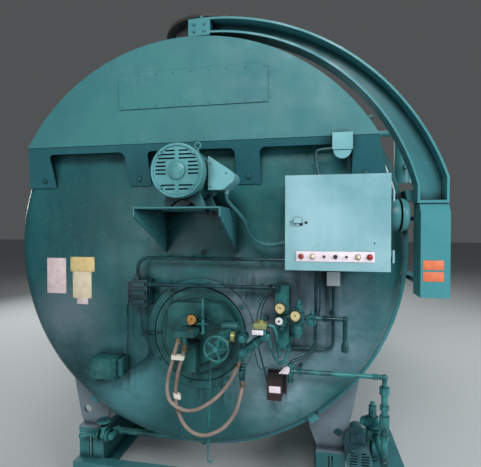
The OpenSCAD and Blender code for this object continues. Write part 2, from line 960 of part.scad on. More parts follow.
// Motor frame with cooling fins, feet and the lifting eye
module fan_motor() {
    fins = 28;
    z = axis_z + motor_z;
    depth = motor_reach - bell_d - 30;
    color(TEAL) {
        boss(motor_x, dish_y - 30, z, motor_r - 12, depth);
        boss(motor_x, dish_y, z, 70, 30);
        for (i = [4 : fins - 5])
            translate([motor_x, 0, z])
                rotate([0, 360 * (i + 0.5) / fins, 0])
                    translate([motor_r - 14, motor_y + bell_d + 20, -2.5])
                        cube([12, depth - 60, 5]);
        for (y = [motor_y + 90, dish_y - 130])
            translate([motor_x, y + 40, shelf_z])
                rotate([90, 0, 0])
                    linear_extrude(40)
                        difference() {
                            polygon([[-118, 0], [118, 0], [112, 14], [84, 80], [-84, 80], [-112, 14]]);
                            translate([0, motor_foot])
                                circle(r = motor_r - 13);
                            translate([0, -40])
                                circle(r = 82);
                        }
        translate([motor_x + 62, motor_y + 150, z + motor_r - 30])
            cylinder(h = 30, r = 8);
        translate([motor_x + 62, motor_y + 150, z + motor_r + 12])
            rotate([90, 0, 0])
                rotate_extrude()
                    translate([16, 0])
                        circle(r = 5);
    }
}

slot_h = 8;
slot_gap = 19;

// Vented front cover of the motor
module motor_end_bell() {
    z = axis_z + motor_z;
    color(PALE_TEAL)
        difference() {
            union() {
                boss(motor_x, motor_y + bell_d, z, motor_r, bell_d - 8);
                boss(motor_x, motor_y + 8, z, motor_r - 8, 8);
                boss(motor_x, motor_y, z, 44, 5);
            }
            for (row = [-5, -4, -1, 0, 1, 2, 3, 4, 5], s = [-1, 1])
                translate([motor_x, motor_y - 1, z + row * slot_gap]) {
                    from = abs(row) < 3 && row > -4 ? 58 : 10;
                    to = sqrt(pow(motor_r - 26, 2) - pow(row * slot_gap, 2));
                    translate([s > 0 ? from : -to, 0, 0])
                        cube([to - from, 26, slot_h]);
                }
        }
}

box_back = motor_y + 250;                 // back of the terminal box
box_d = 150;
gland_h = 16;
box_gland = [motor_x + motor_r + 66, box_back - 50];

// Wedge-shaped terminal box on the side of the motor, with the gland of its lead
module terminal_box() {
    z = axis_z + motor_z;
    x = motor_x + motor_r - 14;
    color(PALE_TEAL) {
        translate([x, box_back, z])
            rotate([90, 0, 0])
                linear_extrude(box_d)
                    hull() {
                        translate([8, -88])
                            square([6, 172]);
                        translate([110, -24])
                            circle(r = 36, $fn = 32);
                        translate([80, -70])
                            circle(r = 18, $fn = 32);
                    }
        difference() {
            block([motor_x + 90, box_back - box_d + 20, z - 60], [x + 10, box_back - 20, z + 60]);
            boss(motor_x, box_back, z, motor_r - 12 + seat, box_d);
        }
        translate([box_gland[0], box_gland[1], z - 88 - gland_h])
            cylinder(h = gland_h + 20, r = 15);
    }
}

module motor_shelf() {
    t = 8;
    lip = 48;
    x1 = motor_x - 234;
    x2 = x1 + shelf_w;
    z = shelf_z;
    color(TEAL)
        union() {
            block([x1, motor_y, z - t], [x2, dish_y, z]);
            for (x = [x1, x2 - t])
                translate([x, 0, 0])
                    rotate([90, 0, 90])
                        linear_extrude(t)
                            polygon([
                                [motor_y, z - t], [dish_y, z - t], [dish_y, z - gusset_h],
                                [motor_y, z - lip]
                            ]);
        }
}

hinge_r = 7;
hinge_pin_r = 3.5;
hinge_h = 30;
hinge_x = cabinet_x + cabinet_w + 15;
hinge_y = door_y - 5;
hinge_places = [cabinet_z + 70, cabinet_z + cabinet_h - 100];

// Cabinet body: four sides and a back, open towards the door, with its two hinge pins
module control_cabinet() {
    color(TEAL)
        for (z = hinge_places) {
            translate([hinge_x, hinge_y, z - hinge_h - seat])
                cylinder(h = hinge_h, r = hinge_r);
            translate([hinge_x, hinge_y, z - hinge_h])
                cylinder(h = 2 * hinge_h + 2, r = hinge_pin_r);
            block([hinge_x - hinge_r, hinge_y, z - hinge_h - seat],
                [hinge_x + hinge_r, hinge_y + 15, z - seat]);
            block([cabinet_x + cabinet_w, hinge_y + 9, z - hinge_h - seat],
                [hinge_x + hinge_r, hinge_y + 15, z - seat]);
        }
    color(TEAL)
        translate([cabinet_x - gland_h, lead_y, lead_z])
            rotate([0, 90, 0])
                cylinder(h = gland_h, r = 15);
    color(TEAL)
        difference() {
            block([cabinet_x, door_y, cabinet_z],
                [cabinet_x + cabinet_w, cabinet_y, cabinet_z + cabinet_h]);
            block([cabinet_x + cabinet_wall, door_y - 1, cabinet_z + cabinet_wall],
                [cabinet_x + cabinet_w - cabinet_wall, cabinet_y - cabinet_wall,
                    cabinet_z + cabinet_h - cabinet_wall]);
        }
}

door_gap = 1;
lead_y = cabinet_y - 50;
lead_z = cabinet_z + 121;
door_back = door_y - door_gap;
door_lap = 2;

// Door pan with its folded edge, a latch and two hinge knuckles
module cabinet_door() {
    low = [cabinet_x - door_lap, door_back - door_d, cabinet_z - door_lap];
    high = [cabinet_x + cabinet_w + door_lap, door_back, cabinet_z + cabinet_h + door_lap];
    color(PALE_TEAL) {
        difference() {
            block(low, high);
            block([low[0] + 3, low[1] + 3, low[2] + 3], [high[0] - 3, high[1] + 1, high[2] - 3]);
        }
        block([cabinet_x + 40, low[1] - 8, cabinet_z + 230], [cabinet_x + 78, low[1], cabinet_z + 256]);
        for (z = hinge_places)
            difference() {
                union() {
                    translate([hinge_x, hinge_y, z])
                        cylinder(h = hinge_h, r = hinge_r);
                    block([high[0], hinge_y - 3, z], [hinge_x - 4, hinge_y + 1, z + hinge_h]);
                }
                translate([hinge_x, hinge_y, z - 1])
                    cylinder(h = hinge_h + 2, r = hinge_pin_r + 0.05);
            }
    }
}

lamp_x = [24, 79, 134, 188, 240, 293, 347];
lamp_r = [13, 13, 7, 11, 8, 13, 16];
strip_w = 370;
strip_h = 50;
strip_x = cabinet_x + 52;
strip_z = cabinet_z + 42;

module indicator_panel() {
    front = door_back - door_d;
    color("#e8d8dc")
        block([strip_x, front - 3, strip_z], [strip_x + strip_w, front, strip_z + strip_h]);
    for (i = [0 : len(lamp_x) - 1])
        color(i == 0 || i == 6 ? "#a8383a" : "#e8dcc8")
            boss(strip_x + lamp_x[i], front - 3, strip_z + strip_h / 2, lamp_r[i], 18);
}

module cabinet_brackets() {
    color(TEAL)
        for (dz = [40, cabinet_h - 80])
            block([cabinet_x + 20, cabinet_y, cabinet_z + dz],
                [cabinet_x + cabinet_w - 20, dish_y, cabinet_z + dz + 40]);
}

// Hooded box on the fold, with a half-round lower edge
module limit_hood() {
    x = 870;
    z = apron_z + 8;
    half = 53;
    h = 91;
    color(PALE_TEAL) {
        block([x - half, casing_y - 40, z - h], [x + half, casing_y, z]);
        intersection() {
            boss(x, casing_y, z - h, half - 6, 34);
            block([x - half, casing_y - 40, z - h - half], [x + half, casing_y + 40, z - h + 1]);
        }
    }
}

module outlet_box() {
    color("#c8ccce")
        block([795, dish_y - 48, axis_z - 204], [867, dish_y, axis_z - 125]);
}

module burner_ring() {
    color(TEAL) {
        difference() {
            boss(burner_x, dish_y, burner_z, burner_ring_r, 10);
            boss(burner_x, dish_y + 5, burner_z, burner_plate_r + 5, 30);
        }
        boss(burner_x, dish_y, burner_z, burner_plate_r, 18);
    }
}

burner_face = dish_y - 18;

// Rounded cover over the burner's air register, and the valve block on its left
module burner_cover() {
    drum_r = 218;
    drum_t = 30;
    depth = 70;
    color(TEAL)
        translate([burner_x, burner_face, burner_z])
            difference() {
                union() {
                    boss(0, 0, 0, drum_r, drum_t);
                    rotate([90, 0, 0])
                        linear_extrude(depth)
                            hull() {
                                translate([-112, 142])
                                    circle(r = 60, $fn = 32);
                                translate([120, 122])
                                    circle(r = 80, $fn = 32);
                                translate([204, 66])
                                    circle(r = 38, $fn = 32);
                                translate([150, -50])
                                    circle(r = 40, $fn = 32);
                                translate([-40, -150])
                                    circle(r = 40, $fn = 32);
                                translate([-150, -40])
                                    circle(r = 36, $fn = 32);
                            }
                    block([-64, -150, -180], [23, -60, -14]);
                    translate([165, -depth - 20, 78])
                        rotate([0, 90, 0])
                            cylinder(h = 95, r = 27);
                    translate([250, -depth - 20, 78])
                        rotate([0, 90, 0])
                            cylinder(h = 24, r = 19, $fn = 6);
                }
                boss(wheel_x - burner_x, 1, wheel_z - burner_z, 24 + seat, 200);
            }
}

gun_y = burner_face - 70;
hose_y = dish_y - 270;
upper_hose_x = -6;
lower_hose_x = 31;

// Fuel gun with the two elbows that the hoses start from
module burner_gun() {
    rail_z = burner_z + 70;
    color(TEAL) {
        boss(burner_x + 10, gun_y, rail_z, 24, 62);
        block([-20, hose_y - 16, rail_z - 16], [88, gun_y - 60, rail_z + 16]);
        translate([upper_hose_x, hose_y, hose_upper_points[0][2] + seat])
            cylinder(h = rail_z - hose_upper_points[0][2], r = 13, $fn = 6);
        translate([lower_hose_x, hose_y, hose_lower_points[0][2] + seat])
            cylinder(h = rail_z - hose_lower_points[0][2], r = 13, $fn = 6);
    }
}

gauge_x = 43;
gauge_z = axis_z - 395;
gauge_y = burner_face - 70;
gauge_d = 76;                             // distance of the gauge's pipes from the cover

module burner_gauge() {
    y = gauge_y - gauge_d;
    low = gauge_z - 28;
    spike_x = gauge_x + 59;
    color(TEAL) {
        boss(spike_x, gauge_y, low, 10, gauge_d);
        bar([gauge_x, y, low], [spike_x + 44, y, low], 8);
        for (x = [gauge_x + 20, spike_x + 28])
            translate([x, y, low])
                rotate([0, 90, 0])
                    cylinder(h = 14, r = 13, $fn = 6);
        translate([spike_x, y, low - 56])
            cylinder(h = 110, r = 11);
        translate([spike_x, y, low + 53])
            cylinder(h = 92, r1 = 9, r2 = 5);
    }
    color("#b0803c")
        boss(gauge_x, y + 16, gauge_z, 31, 32);
}

wheel_x = 248;
wheel_z = axis_z - 473;
wheel_y = dish_y - 430;
stem_r = 7;

// Handwheel: rim, hub and five spokes
module handwheel() {
    color(TEAL)
        translate([wheel_x, wheel_y, wheel_z])
            rotate([90, 0, 0]) {
                rotate_extrude()
                    translate([wheel_r - 6, 0])
                        circle(r = 6);
                difference() {
                    translate([0, 0, -10])
                        cylinder(h = 20, r = 15);
                    translate([0, 0, -11])
                        cylinder(h = 22, r = stem_r + 0.05);
                }
                for (i = [0 : 4])
                    rotate([0, 0, 72 * i])
                        translate([12, -4, -3])
                            cube([wheel_r - 20, 8, 6]);
            }
}

block_w = 30;
rod_x = 167;
rod_y = dish_y - 230;
rod_low = 488;
rod_r = 4;

// Valve that the handwheel turns: stem with its nut, bonnet, square body, pipe and pull rod
module wheel_valve() {
    color(TEAL) {
        boss(wheel_x, wheel_y + 20, wheel_z, stem_r, 36);
        boss(wheel_x, wheel_y - 10 - seat, wheel_z, 12, 5);
        boss(wheel_x, wheel_y + 60, wheel_z, 12, 50 - seat);
        boss(wheel_x, wheel_y + 120, wheel_z, 26, 60);
        boss(wheel_x, wheel_y + 92, wheel_z, 34, 14, $fn = 6);
        boss(wheel_x, burner_face, wheel_z, 24, burner_face - wheel_y - 120);
        block([wheel_x - block_w, manifold_y - block_w, wheel_z - block_w],
            [wheel_x + block_w, manifold_y + block_w, wheel_z + block_w]);
        pipe_run([[wheel_x - 26, manifold_y, wheel_z - 22], [rod_x, rod_y, wheel_z - 146],
            [rod_x - 18, rod_y, rod_low + 12], [rod_x - 6, rod_y, rod_low], [rod_x + 14, rod_y, rod_low + 16]],
            rod_r, 1.2);
    }
}

manifold_y = dish_y - 240;
lower_end_x = 345;

// Row of unions from the valve, with the two stubs that the hoses end on
module fuel_manifold() {
    rail_z = wheel_z + 10;
    tee_x = wheel_x + 102;
    low = [354, manifold_y, 1121];
    high = [471, manifold_y, 1212];
    tip = hose_upper_points[len(hose_upper_points) - 1];
    before = hose_upper_points[len(hose_upper_points) - 2];
    away = unit(tip - before);
    color(TEAL) {
        bar([wheel_x + block_w, manifold_y, rail_z], [tee_x, manifold_y, rail_z], 15);
        for (x = [wheel_x + block_w + 6, wheel_x + block_w + 40])
            translate([x, manifold_y, rail_z])
                rotate([0, 90, 0])
                    cylinder(h = 20, r = 25, $fn = 6);
        boss(tee_x, manifold_y + 30, rail_z, 27, 58);
        bar([tee_x, manifold_y, rail_z + 34], [tee_x, manifold_y, low[2]], 18);
        bar(low, high, 19);
        for (t = [0.12, 0.5, 0.82])
            bar(low + t * (high - low), low + (t + 0.12) * (high - low), 27, $fn = 6);
        boss(low[0], manifold_y + 20, low[2], 26, 62);
        bar(tip + seat * away, tip + 34 * away, 13, $fn = 6);
        bar(tip + 30 * away, [low[0], manifold_y - 30, low[2]], 10);
        translate([lower_end_x, manifold_y, hose_lower_points[len(hose_lower_points) - 1][2] + seat])
            cylinder(h = 50, r = 17, $fn = 6);
        translate([lower_end_x, manifold_y, 1010])
            cylinder(h = low[2] - 1010, r = 12);
        block([410, manifold_y - 32, 1222], [476, manifold_y + 32, 1280]);
        boss(443, dish_y, 1250, 16, dish_y - manifold_y - 30);
        block([high[0] - 24, manifold_y - 24, high[2] - 22], [high[0] + 24, manifold_y + 24, 1226]);
    }
    color(TEAL) {
        pipe_run([[484, manifold_y, 1206], [497, manifold_y + 10, 1150], [514, manifold_y + 30, 1091],
            [541, manifold_y + 40, 1052], [567, manifold_y + 44, 1064], [590, manifold_y + 50, 1112],
            [590, manifold_y + 50, 1135]], 9, 1.05);
        pipe_run([[470, manifold_y + 14, 1262], [508, manifold_y + 16, 1258],
            [522, manifold_y + 24, 1225], [530, manifold_y + 34, 1160], [541, manifold_y + 52, 1082]],
            9, 1.05);
        translate([590, manifold_y + 50, 1128])
            cylinder(h = 22, r = 14, $fn = 6);
        block([588, manifold_y + 36, 1140], [604, dish_y, 1158]);
    }
}

air_y = dish_y - 150;
air_z = axis_z - 366;
line_x = 760;
plate_x = 504;

module air_regulators() {
    knob_x = 538;
    bowl_x = 632;
    pilot_x = 707;
    color(TEAL) {
        translate([545, air_y, air_z - 46])
            cylinder(h = 64, r = 30);
        block([520, air_y - 26, air_z - 30], [576, air_y + 26, air_z + 12]);
        boss(knob_x, air_y - 26, air_z - 12, 19, 22);
        translate([545, air_y, air_z - 70])
            cylinder(h = 30, r = 13);
        boss(545, dish_y - 59, air_z, 15, 80);
        translate([bowl_x, air_y, air_z - 84])
            cylinder(h = 56, r = 32);
        translate([bowl_x, air_y, air_z - 110])
            cylinder(h = 27, r1 = 18, r2 = 30);
        block([bowl_x - 28, air_y - 28, air_z - 30], [bowl_x + 40, air_y + 28, air_z + 28]);
        translate([bowl_x + 10, air_y, air_z + 26])
            cylinder(h = 46, r = 23);
        translate([bowl_x + 10, air_y, air_z + 70])
            cylinder(h = 26, r = 12);
        boss(bowl_x, dish_y, air_z, 15, 130);
        bar([545, air_y, air_z], [line_x, air_y, air_z], 12);
        boss(pilot_x, air_y + 28, air_z - 11, 29, 60);
        boss(pilot_x, air_y - 31, air_z - 11, 16, 12);
        translate([pilot_x + 5, air_y, air_z])
            cylinder(h = 38, r = 9);
    }
    color(DARK)
        block([plate_x, dish_y - 60, 1078], [plate_x + 80, dish_y, 1454]);
    color("#d8c46a")
        for (p = [[545, 62], [626, 24]])
            boss(p[0], air_y - 40, air_z + p[1], 29, 26);
    color(TEAL)
        for (p = [[545, 62], [626, 24]])
            bar([p[0], air_y, air_z - 4], [p[0], air_y - 53, air_z + p[1]], 7);
}

union_z = air_z - 175;

module air_line() {
    drop_x = line_x + 126;
    color(TEAL) {
        pipe_run([[line_x, air_y, air_z], [drop_x, air_y, air_z], [drop_x, air_y, union_z]], 12);
        translate([drop_x, air_y, union_z])
            cylinder(h = 34, r = 19, $fn = 6);
        translate([drop_x, air_y, union_z + 34])
            cylinder(h = 24, r1 = 19, r2 = 12);
        translate([line_x + 12, air_y, air_z])
            rotate([0, 90, 0])
                cylinder(h = 20, r = 18, $fn = 6);
        boss(line_x + 60, dish_y, air_z, 8, 150);
    }
}

fuel_line_z = axis_z - 682;

module fuel_line() {
    start_x = 596;
    color(TEAL) {
        pipe_run([[start_x, riser_y, fuel_line_z], [riser_x, riser_y, fuel_line_z],
            [riser_x, riser_y, riser_top + seat]], 13);
        translate([start_x, riser_y, fuel_line_z - 62])
            cylinder(h = 110, r = 12);
        for (z = [fuel_line_z - 60, fuel_line_z - 20, fuel_line_z + 26])
            translate([start_x, riser_y, z])
                cylinder(h = 16, r = 18, $fn = 6);
        for (x = [start_x + 40, 1040])
            translate([x, riser_y, fuel_line_z])
                rotate([0, 90, 0])
                    cylinder(h = 18, r = 18, $fn = 6);
        boss(650, dish_y, fuel_line_z, 9, -riser_y + dish_y);
    }
}

module ignition_transformer() {
    low = [466, dish_y - 130, axis_z - 843];
    high = [548, dish_y, axis_z - 722];
    color("#3a2c2e") {
        block(low, high);
        block([low[0] - 8, dish_y - 14, low[2] - 6], [high[0] + 18, dish_y, high[2] + 6]);
        for (x = [low[0] + 24, low[0] + 58])
            translate([x, dish_y - 60, low[2] - 30])
                cylinder(h = 31, r = 10);
    }
}

conduit_r = 10;
conduit_y = dish_y - 75;
box_x1 = -366;
box_x2 = -262;
box_top = axis_z - 192;
entry_x = -332;

module junction_box() {
    low_z = box_top - 160;
    color(DARK) {
        block([box_x1, dish_y - 100, low_z], [box_x2, dish_y, box_top]);
        block([box_x1 - 40, dish_y - 60, low_z + 36], [box_x1 + 1, dish_y, box_top - 20]);
        for (dz = [18, 70, 122])
            block([box_x1 + 12, dish_y - 112, low_z + dz], [box_x2 - 12, dish_y - 99, low_z + dz + 24]);
        translate([entry_x, conduit_y, box_top])
            cylinder(h = 26, r = 20, $fn = 6);
    }
}

// Rigid conduits on the head, with a bend and standoff clips
module conduits() {
    bend_r = 70;
    top_z = axis_z - 59;
    low_z = box_top - 28;
    color(TEAL) {
        bar([entry_x, conduit_y, box_top + 26], [entry_x, conduit_y, top_z - bend_r], conduit_r);
        translate([entry_x + bend_r, conduit_y, top_z - bend_r])
            rotate([90, 0, 0])
                rotate([0, 0, 90])
                    rotate_extrude(angle = 90)
                        translate([bend_r, 0])
                            circle(r = conduit_r);
        bar([entry_x + bend_r, conduit_y, top_z], [cabinet_x, conduit_y, top_z], conduit_r);
        bar([box_x2, conduit_y, low_z], [plate_x + 16, conduit_y, low_z], 12);
        translate([box_x2, conduit_y, low_z])
            rotate([0, 90, 0])
                cylinder(h = 22, r = 19, $fn = 6);
        translate([plate_x - 34, conduit_y, low_z])
            rotate([0, 90, 0])
                cylinder(h = 22, r = 19, $fn = 6);
        boss(plate_x + 16, dish_y - 60, low_z, 14, 31);
        for (x = [-150, 420], z = [top_z, low_z])
            boss(x, dish_y, z, 6, dish_y - conduit_y);
    }
}

module air_switch() {
    low = [-650, axis_z - 812];
    high = [-487, axis_z - 687];
    corner = 32;
    y = dish_y - 100;
    color(TEAL) {
        translate([0, dish_y, 0])
            rotate([90, 0, 0])
                linear_extrude(100)
                    hull() {
                        translate(low + [corner, corner])
                            circle(r = corner, $fn = 32);
                        translate([low[0] + 12, high[1] - 12])
                            circle(r = 12, $fn = 32);
                        translate([high[0], low[1]])
                            square([1, high[1] - low[1]]);
                    }
        block([high[0], y - 8, low[1] - 6], [high[0] + 22, dish_y, high[1] + 6]);
        block([high[0] + 22, y + 10, low[1] + 18], [high[0] + 54, dish_y, high[1]]);
        for (dz = [14, 62, 110])
            boss(high[0] + 11, y - 7, low[1] + dz, 7, 8, $fn = 6);
    }
}

module data_plates() {
    front = dish_y - 2;
    color("#d9c3c4")
        block([-1010, front, axis_z - 308], [-872, dish_y, axis_z - 76]);
    color("#d8bb70")
        block([-839, front, axis_z - 162], [-668, dish_y, axis_z - 67]);
    color("#d9c3c4") {
        block([-823, front, axis_z - 335], [-690, dish_y, axis_z - 163]);
        block([-794, front, axis_z - 374], [-715, dish_y, axis_z - 334]);
    }
}

arm_tip = 0;
arm_shift = 95;                           // both arcs' centres lie this far to the right
arm_out_x = pivot_x + housing_w / 2;      // outer side of the arm's foot
arm_in_x = arm_out_x - arm_foot_w;        // inner side of the arm's foot
arm_in_top = casing_r + arm_gap;          // lower face of the arm, over the boiler axis
arm_out_top = arm_in_top + arm_h;
arm_foot_z = housing_top - axis_z + 14;
hanger_w = 130;

// Height of the centre of an arc that has its top at the given height, and meets the side
// face of the foot at height z and distance dx from its centre line
function arc_middle(top, dx, z) = (top * top - dx * dx - z * z) / (2 * (top - z));

// Outline of the arm, from its tip over the head down to the pivot, moved in by inset
module arm_outline(inset) {
    out_z = arc_middle(arm_out_top, arm_out_x - arm_shift, arm_bend + 41);
    in_z = arc_middle(arm_in_top, arm_in_x - arm_shift, arm_bend);
    difference() {
        intersection() {
            translate([arm_shift, out_z])
                circle(r = arm_out_top - out_z - inset, $fn = round_fn);
            translate([arm_tip, arm_foot_z])
                square([arm_out_x - inset - arm_tip, 2 * arm_out_top]);
        }
        intersection() {
            translate([arm_shift, in_z])
                circle(r = arm_in_top - in_z + inset, $fn = round_fn);
            translate([-arm_out_x, arm_bend])
                square([3 * arm_out_x, 2 * arm_out_top]);
        }
        translate([-arm_out_x, 0])
            square([arm_out_x + arm_in_x + inset, arm_bend + 0.01]);
    }
}

// Channel arm, its hanger over the head, its foot and the pivot pin
module davit_arm() {
    color(TEAL) {
        translate([0, arm_y + arm_d / 2, axis_z])
            rotate([90, 0, 0]) {
                linear_extrude(arm_t)
                    arm_outline(0);
                linear_extrude(arm_d)
                    difference() {
                        arm_outline(0);
                        arm_outline(arm_t);
                    }
            }
        block([arm_tip, arm_y - arm_d / 2, axis_z + casing_r + seat],
            [arm_tip + hanger_w, arm_y + arm_d / 2, axis_z + arm_out_top - 5]);
        translate([arm_tip + hanger_w / 2, arm_y, axis_z + arm_out_top - 10])
            cylinder(h = 44, r = 9);
        translate([arm_tip + hanger_w / 2, arm_y, axis_z + arm_out_top - 1])
            cylinder(h = 14, r = 17, $fn = 6);
        difference() {
            block([jacket_r - 50, arm_y + arm_d / 2 - 1, housing_top + 20],
                [pivot_x - 30, -10, housing_top + 76]);
            translate([0, 1, axis_z])
                rotate([90, 0, 0])
                    cylinder(h = 400, r = ring_r + seat, $fn = round_fn);
        }
        block([arm_in_x, arm_y - arm_d / 2, housing_top + seat],
            [arm_out_x, arm_y + arm_d / 2, axis_z + arm_foot_z + 1]);
        translate([pivot_x, -pivot_y, housing_z + 20])
            cylinder(h = housing_h - 20 + 10, r = pin_r - 0.05);
    }
}

hose_r = 10;
hose_upper_points = [
    [-6, -420, 1186], [-6, -420, 1172], [-19, -422, 1125], [-38, -427, 1050], [-58, -431, 975],
    [-65, -434, 915], [-58, -435, 862], [-36, -434, 826], [10, -430, 798], [61, -426, 791],
    [117, -422, 807], [185, -420, 851], [240, -418, 905], [289, -417, 973], [318, -416, 1034],
    [330, -416, 1062], [335, -416, 1078]
];
hose_lower_points = [
    [31, -420, 1147], [31, -420, 1134], [22, -418, 1095], [8, -412, 1050], [-14, -404, 982],
    [-27, -400, 900], [-30, -398, 850], [-24, -398, 795], [-8, -400, 752], [14, -404, 712],
    [48, -408, 678], [95, -412, 658], [148, -412, 657], [195, -410, 674], [244, -406, 705],
    [286, -400, 752], [316, -396, 808], [334, -392, 874], [345, -390, 930], [345, -390, 965]
];

module fuel_hose_upper() {
    color("#b09080")
        flex(hose_upper_points, hose_r);
}

module fuel_hose_lower() {
    color("#b09080")
        flex(hose_lower_points, hose_r);
}

lead_points = [
    [258, -400, 1961.7], [258, -400, 1946], [272, -388, 1915], [308, -352, 1872], [345, -310, 1818],
    [367, -280, 1760], [402, -262, 1712], [460, -258, 1687], [520, -260, 1692], [548, -260, 1698],
    [565.7, -260, 1698]
];

module motor_lead() {
    color(TEAL)
        flex(lead_points, 11);
}

jacket();
jacket_straps();
body_rings();
front_tube_sheet();
furnace();
rear_head();
skid_beams();
skid_crossmembers();
front_saddles();
rear_saddles();
flue_outlet();
steam_nozzle();
safety_valves();
manway();
lifting_lugs();
water_column();
gauge_glass();
davit_housing();
pump_shelf();
air_pump();
fuel_regulator();
fuel_riser();
blowdown_valve();
head_ring();
head_dish();
head_lining();
upper_casing();
casing_apron();
access_cover();
fan_motor();
motor_end_bell();
terminal_box();
motor_shelf();
control_cabinet();
cabinet_door();
indicator_panel();
cabinet_brackets();
limit_hood();
outlet_box();
burner_ring();
burner_cover();
burner_gun();
burner_gauge();
handwheel();
wheel_valve();
fuel_manifold();
air_regulators();
air_line();
fuel_line();
ignition_transformer();
junction_box();
conduits();
air_switch();
data_plates();
davit_arm();
fuel_hose_upper();
fuel_hose_lower();
motor_lead();
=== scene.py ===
# %% [markdown]
# # Dressing a packaged steam boiler in Blender
#
# The boiler's solids come from a CAD frame in metres. This lesson gives them paint, braid,
# glass and soot, adds the small parts that a CAD model leaves out, and puts the camera at the
# photograph's viewpoint. Every mesh is made with bmesh, every material is procedural.

# %% Load the frame
import math
import random

import bmesh
import bpy
from mathutils import Matrix, Vector


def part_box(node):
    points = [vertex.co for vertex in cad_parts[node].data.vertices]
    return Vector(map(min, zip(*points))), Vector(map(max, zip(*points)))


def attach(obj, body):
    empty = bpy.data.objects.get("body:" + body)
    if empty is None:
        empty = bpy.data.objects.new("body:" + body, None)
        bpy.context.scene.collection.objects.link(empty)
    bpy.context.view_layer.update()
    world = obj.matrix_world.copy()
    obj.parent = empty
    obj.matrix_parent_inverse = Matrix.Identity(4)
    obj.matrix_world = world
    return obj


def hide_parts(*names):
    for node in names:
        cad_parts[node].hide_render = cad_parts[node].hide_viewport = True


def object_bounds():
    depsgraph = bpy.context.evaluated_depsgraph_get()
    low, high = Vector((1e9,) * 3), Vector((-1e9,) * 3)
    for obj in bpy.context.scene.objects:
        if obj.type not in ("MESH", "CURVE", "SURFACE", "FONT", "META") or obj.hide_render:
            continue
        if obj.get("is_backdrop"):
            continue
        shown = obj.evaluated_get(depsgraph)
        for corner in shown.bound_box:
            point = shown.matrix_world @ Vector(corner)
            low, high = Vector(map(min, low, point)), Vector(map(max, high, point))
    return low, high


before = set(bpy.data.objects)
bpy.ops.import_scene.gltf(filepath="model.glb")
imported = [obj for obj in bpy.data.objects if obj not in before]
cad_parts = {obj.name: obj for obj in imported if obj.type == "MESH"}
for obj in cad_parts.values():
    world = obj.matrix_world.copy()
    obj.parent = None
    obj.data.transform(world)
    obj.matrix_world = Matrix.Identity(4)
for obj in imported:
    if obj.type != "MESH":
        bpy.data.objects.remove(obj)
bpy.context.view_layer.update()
random.seed(7)
print("CAD nodes:", len(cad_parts))

# %% [markdown]
# ## Camera
#
# The boiler is seen from close by, a little right of its middle. The view could be matched by
# eye, but then nothing could be measured from it. So the focal length, height and heading
# were worked out from edges that are known to be round, level or upright on a boiler.

# %% Camera
PHOTO_WIDTH = 481
FOCAL_PX = 380.0
SENSOR_MM = 36.0
EYE = (0.705, -2.388, 1.788)
YAW = math.radians(10.49)
PITCH = math.radians(-0.99)

lens = bpy.data.cameras.new("photo_camera")
lens.sensor_width = SENSOR_MM
lens.lens = FOCAL_PX * SENSOR_MM / PHOTO_WIDTH
lens.clip_end = 60.0
camera = bpy.data.objects.new("photo_camera", lens)
camera.location = EYE
camera.rotation_euler = (math.pi / 2 + PITCH, 0.0, YAW)
bpy.context.scene.collection.objects.link(camera)
bpy.context.scene.camera = camera
print(f"lens {lens.lens:.1f} mm, eye {EYE[2]} m above the floor")

# %% [markdown]
# ## Places that the pieces share
#
# The boiler is a level drum, so most places are an offset from its axis. They could be typed
# in, but here they are read from the boxes of the CAD nodes, so the pieces follow the frame
# when a size changes. `FACE` is the front of the dished head, `COVER` that of the casing.

# %% Shared places
ring_low, ring_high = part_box("head_ring")
AXIS_Z = (ring_low.z + ring_high.z) / 2
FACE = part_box("head_dish")[0].y
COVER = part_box("upper_casing")[0].y
OUT = Vector((0.0, -1.0, 0.0))
print(f"axis {AXIS_Z:.3f} m high, head at y {FACE:.3f}, casing at y {COVER:.3f}")

# %% [markdown]
# ## Colours
#
# A colour in this script is an sRGB hex value, while Blender's shaders take linear light. One
# function turns the first into the second, so no colour has to be written in linear numbers.


# %% Hex to linear colour
def linear(colour):
    """Turns an sRGB hex colour such as "#3f7f80" into a linear RGBA tuple."""
    values = [int(colour[i : i + 2], 16) / 255 for i in (1, 3, 5)]
    light = [v / 12.92 if v <= 0.04045 else ((v + 0.055) / 1.055) ** 2.4 for v in values]
    return (*light, 1.0)


print("casing green in linear light:", [round(v, 3) for v in linear("#40807f")])

# %% [markdown]
# ## Node helpers
#
# A material is a tree of nodes. `node` adds one, sets its values and joins its inputs in one
# call. All patterns read Object coordinates, so grime keeps its true size in metres and
# doesn't stretch with the piece. A noise's scale is its grains per metre: 40 gives 25 mm.


# %% One node
def node(tree, kind, values=None, links=None, **settings):
    """Adds a shader node; values and links are keyed by socket name or index."""
    made = tree.nodes.new(kind)
    for key, value in settings.items():
        setattr(made, key, value)
    for key, value in (values or {}).items():
        made.inputs[key].default_value = value
    for key, socket in (links or {}).items():
        tree.links.new(socket, made.inputs[key])
    return made


# %% Noise and bands
def noise(tree, scale, detail=4.0, stretch=(1.0, 1.0, 1.0), rough=0.55):
    """A noise value over the object, stretched along the axes."""
    place = node(tree, "ShaderNodeTexCoord").outputs["Object"]
    place = node(tree, "ShaderNodeMapping", {"Scale": stretch}, {"Vector": place}).outputs[0]
    values = {"Scale": scale, "Detail": detail, "Roughness": rough}
    return node(tree, "ShaderNodeTexNoise", values, {"Vector": place}).outputs["Fac"]


def band(tree, socket, low, high, out_low=0.0, out_high=1.0):
    """Maps socket from low..high to out_low..out_high, and clamps it."""
    values = {1: low, 2: high, 3: out_low, 4: out_high}
    return node(tree, "ShaderNodeMapRange", values, {0: socket}).outputs[0]


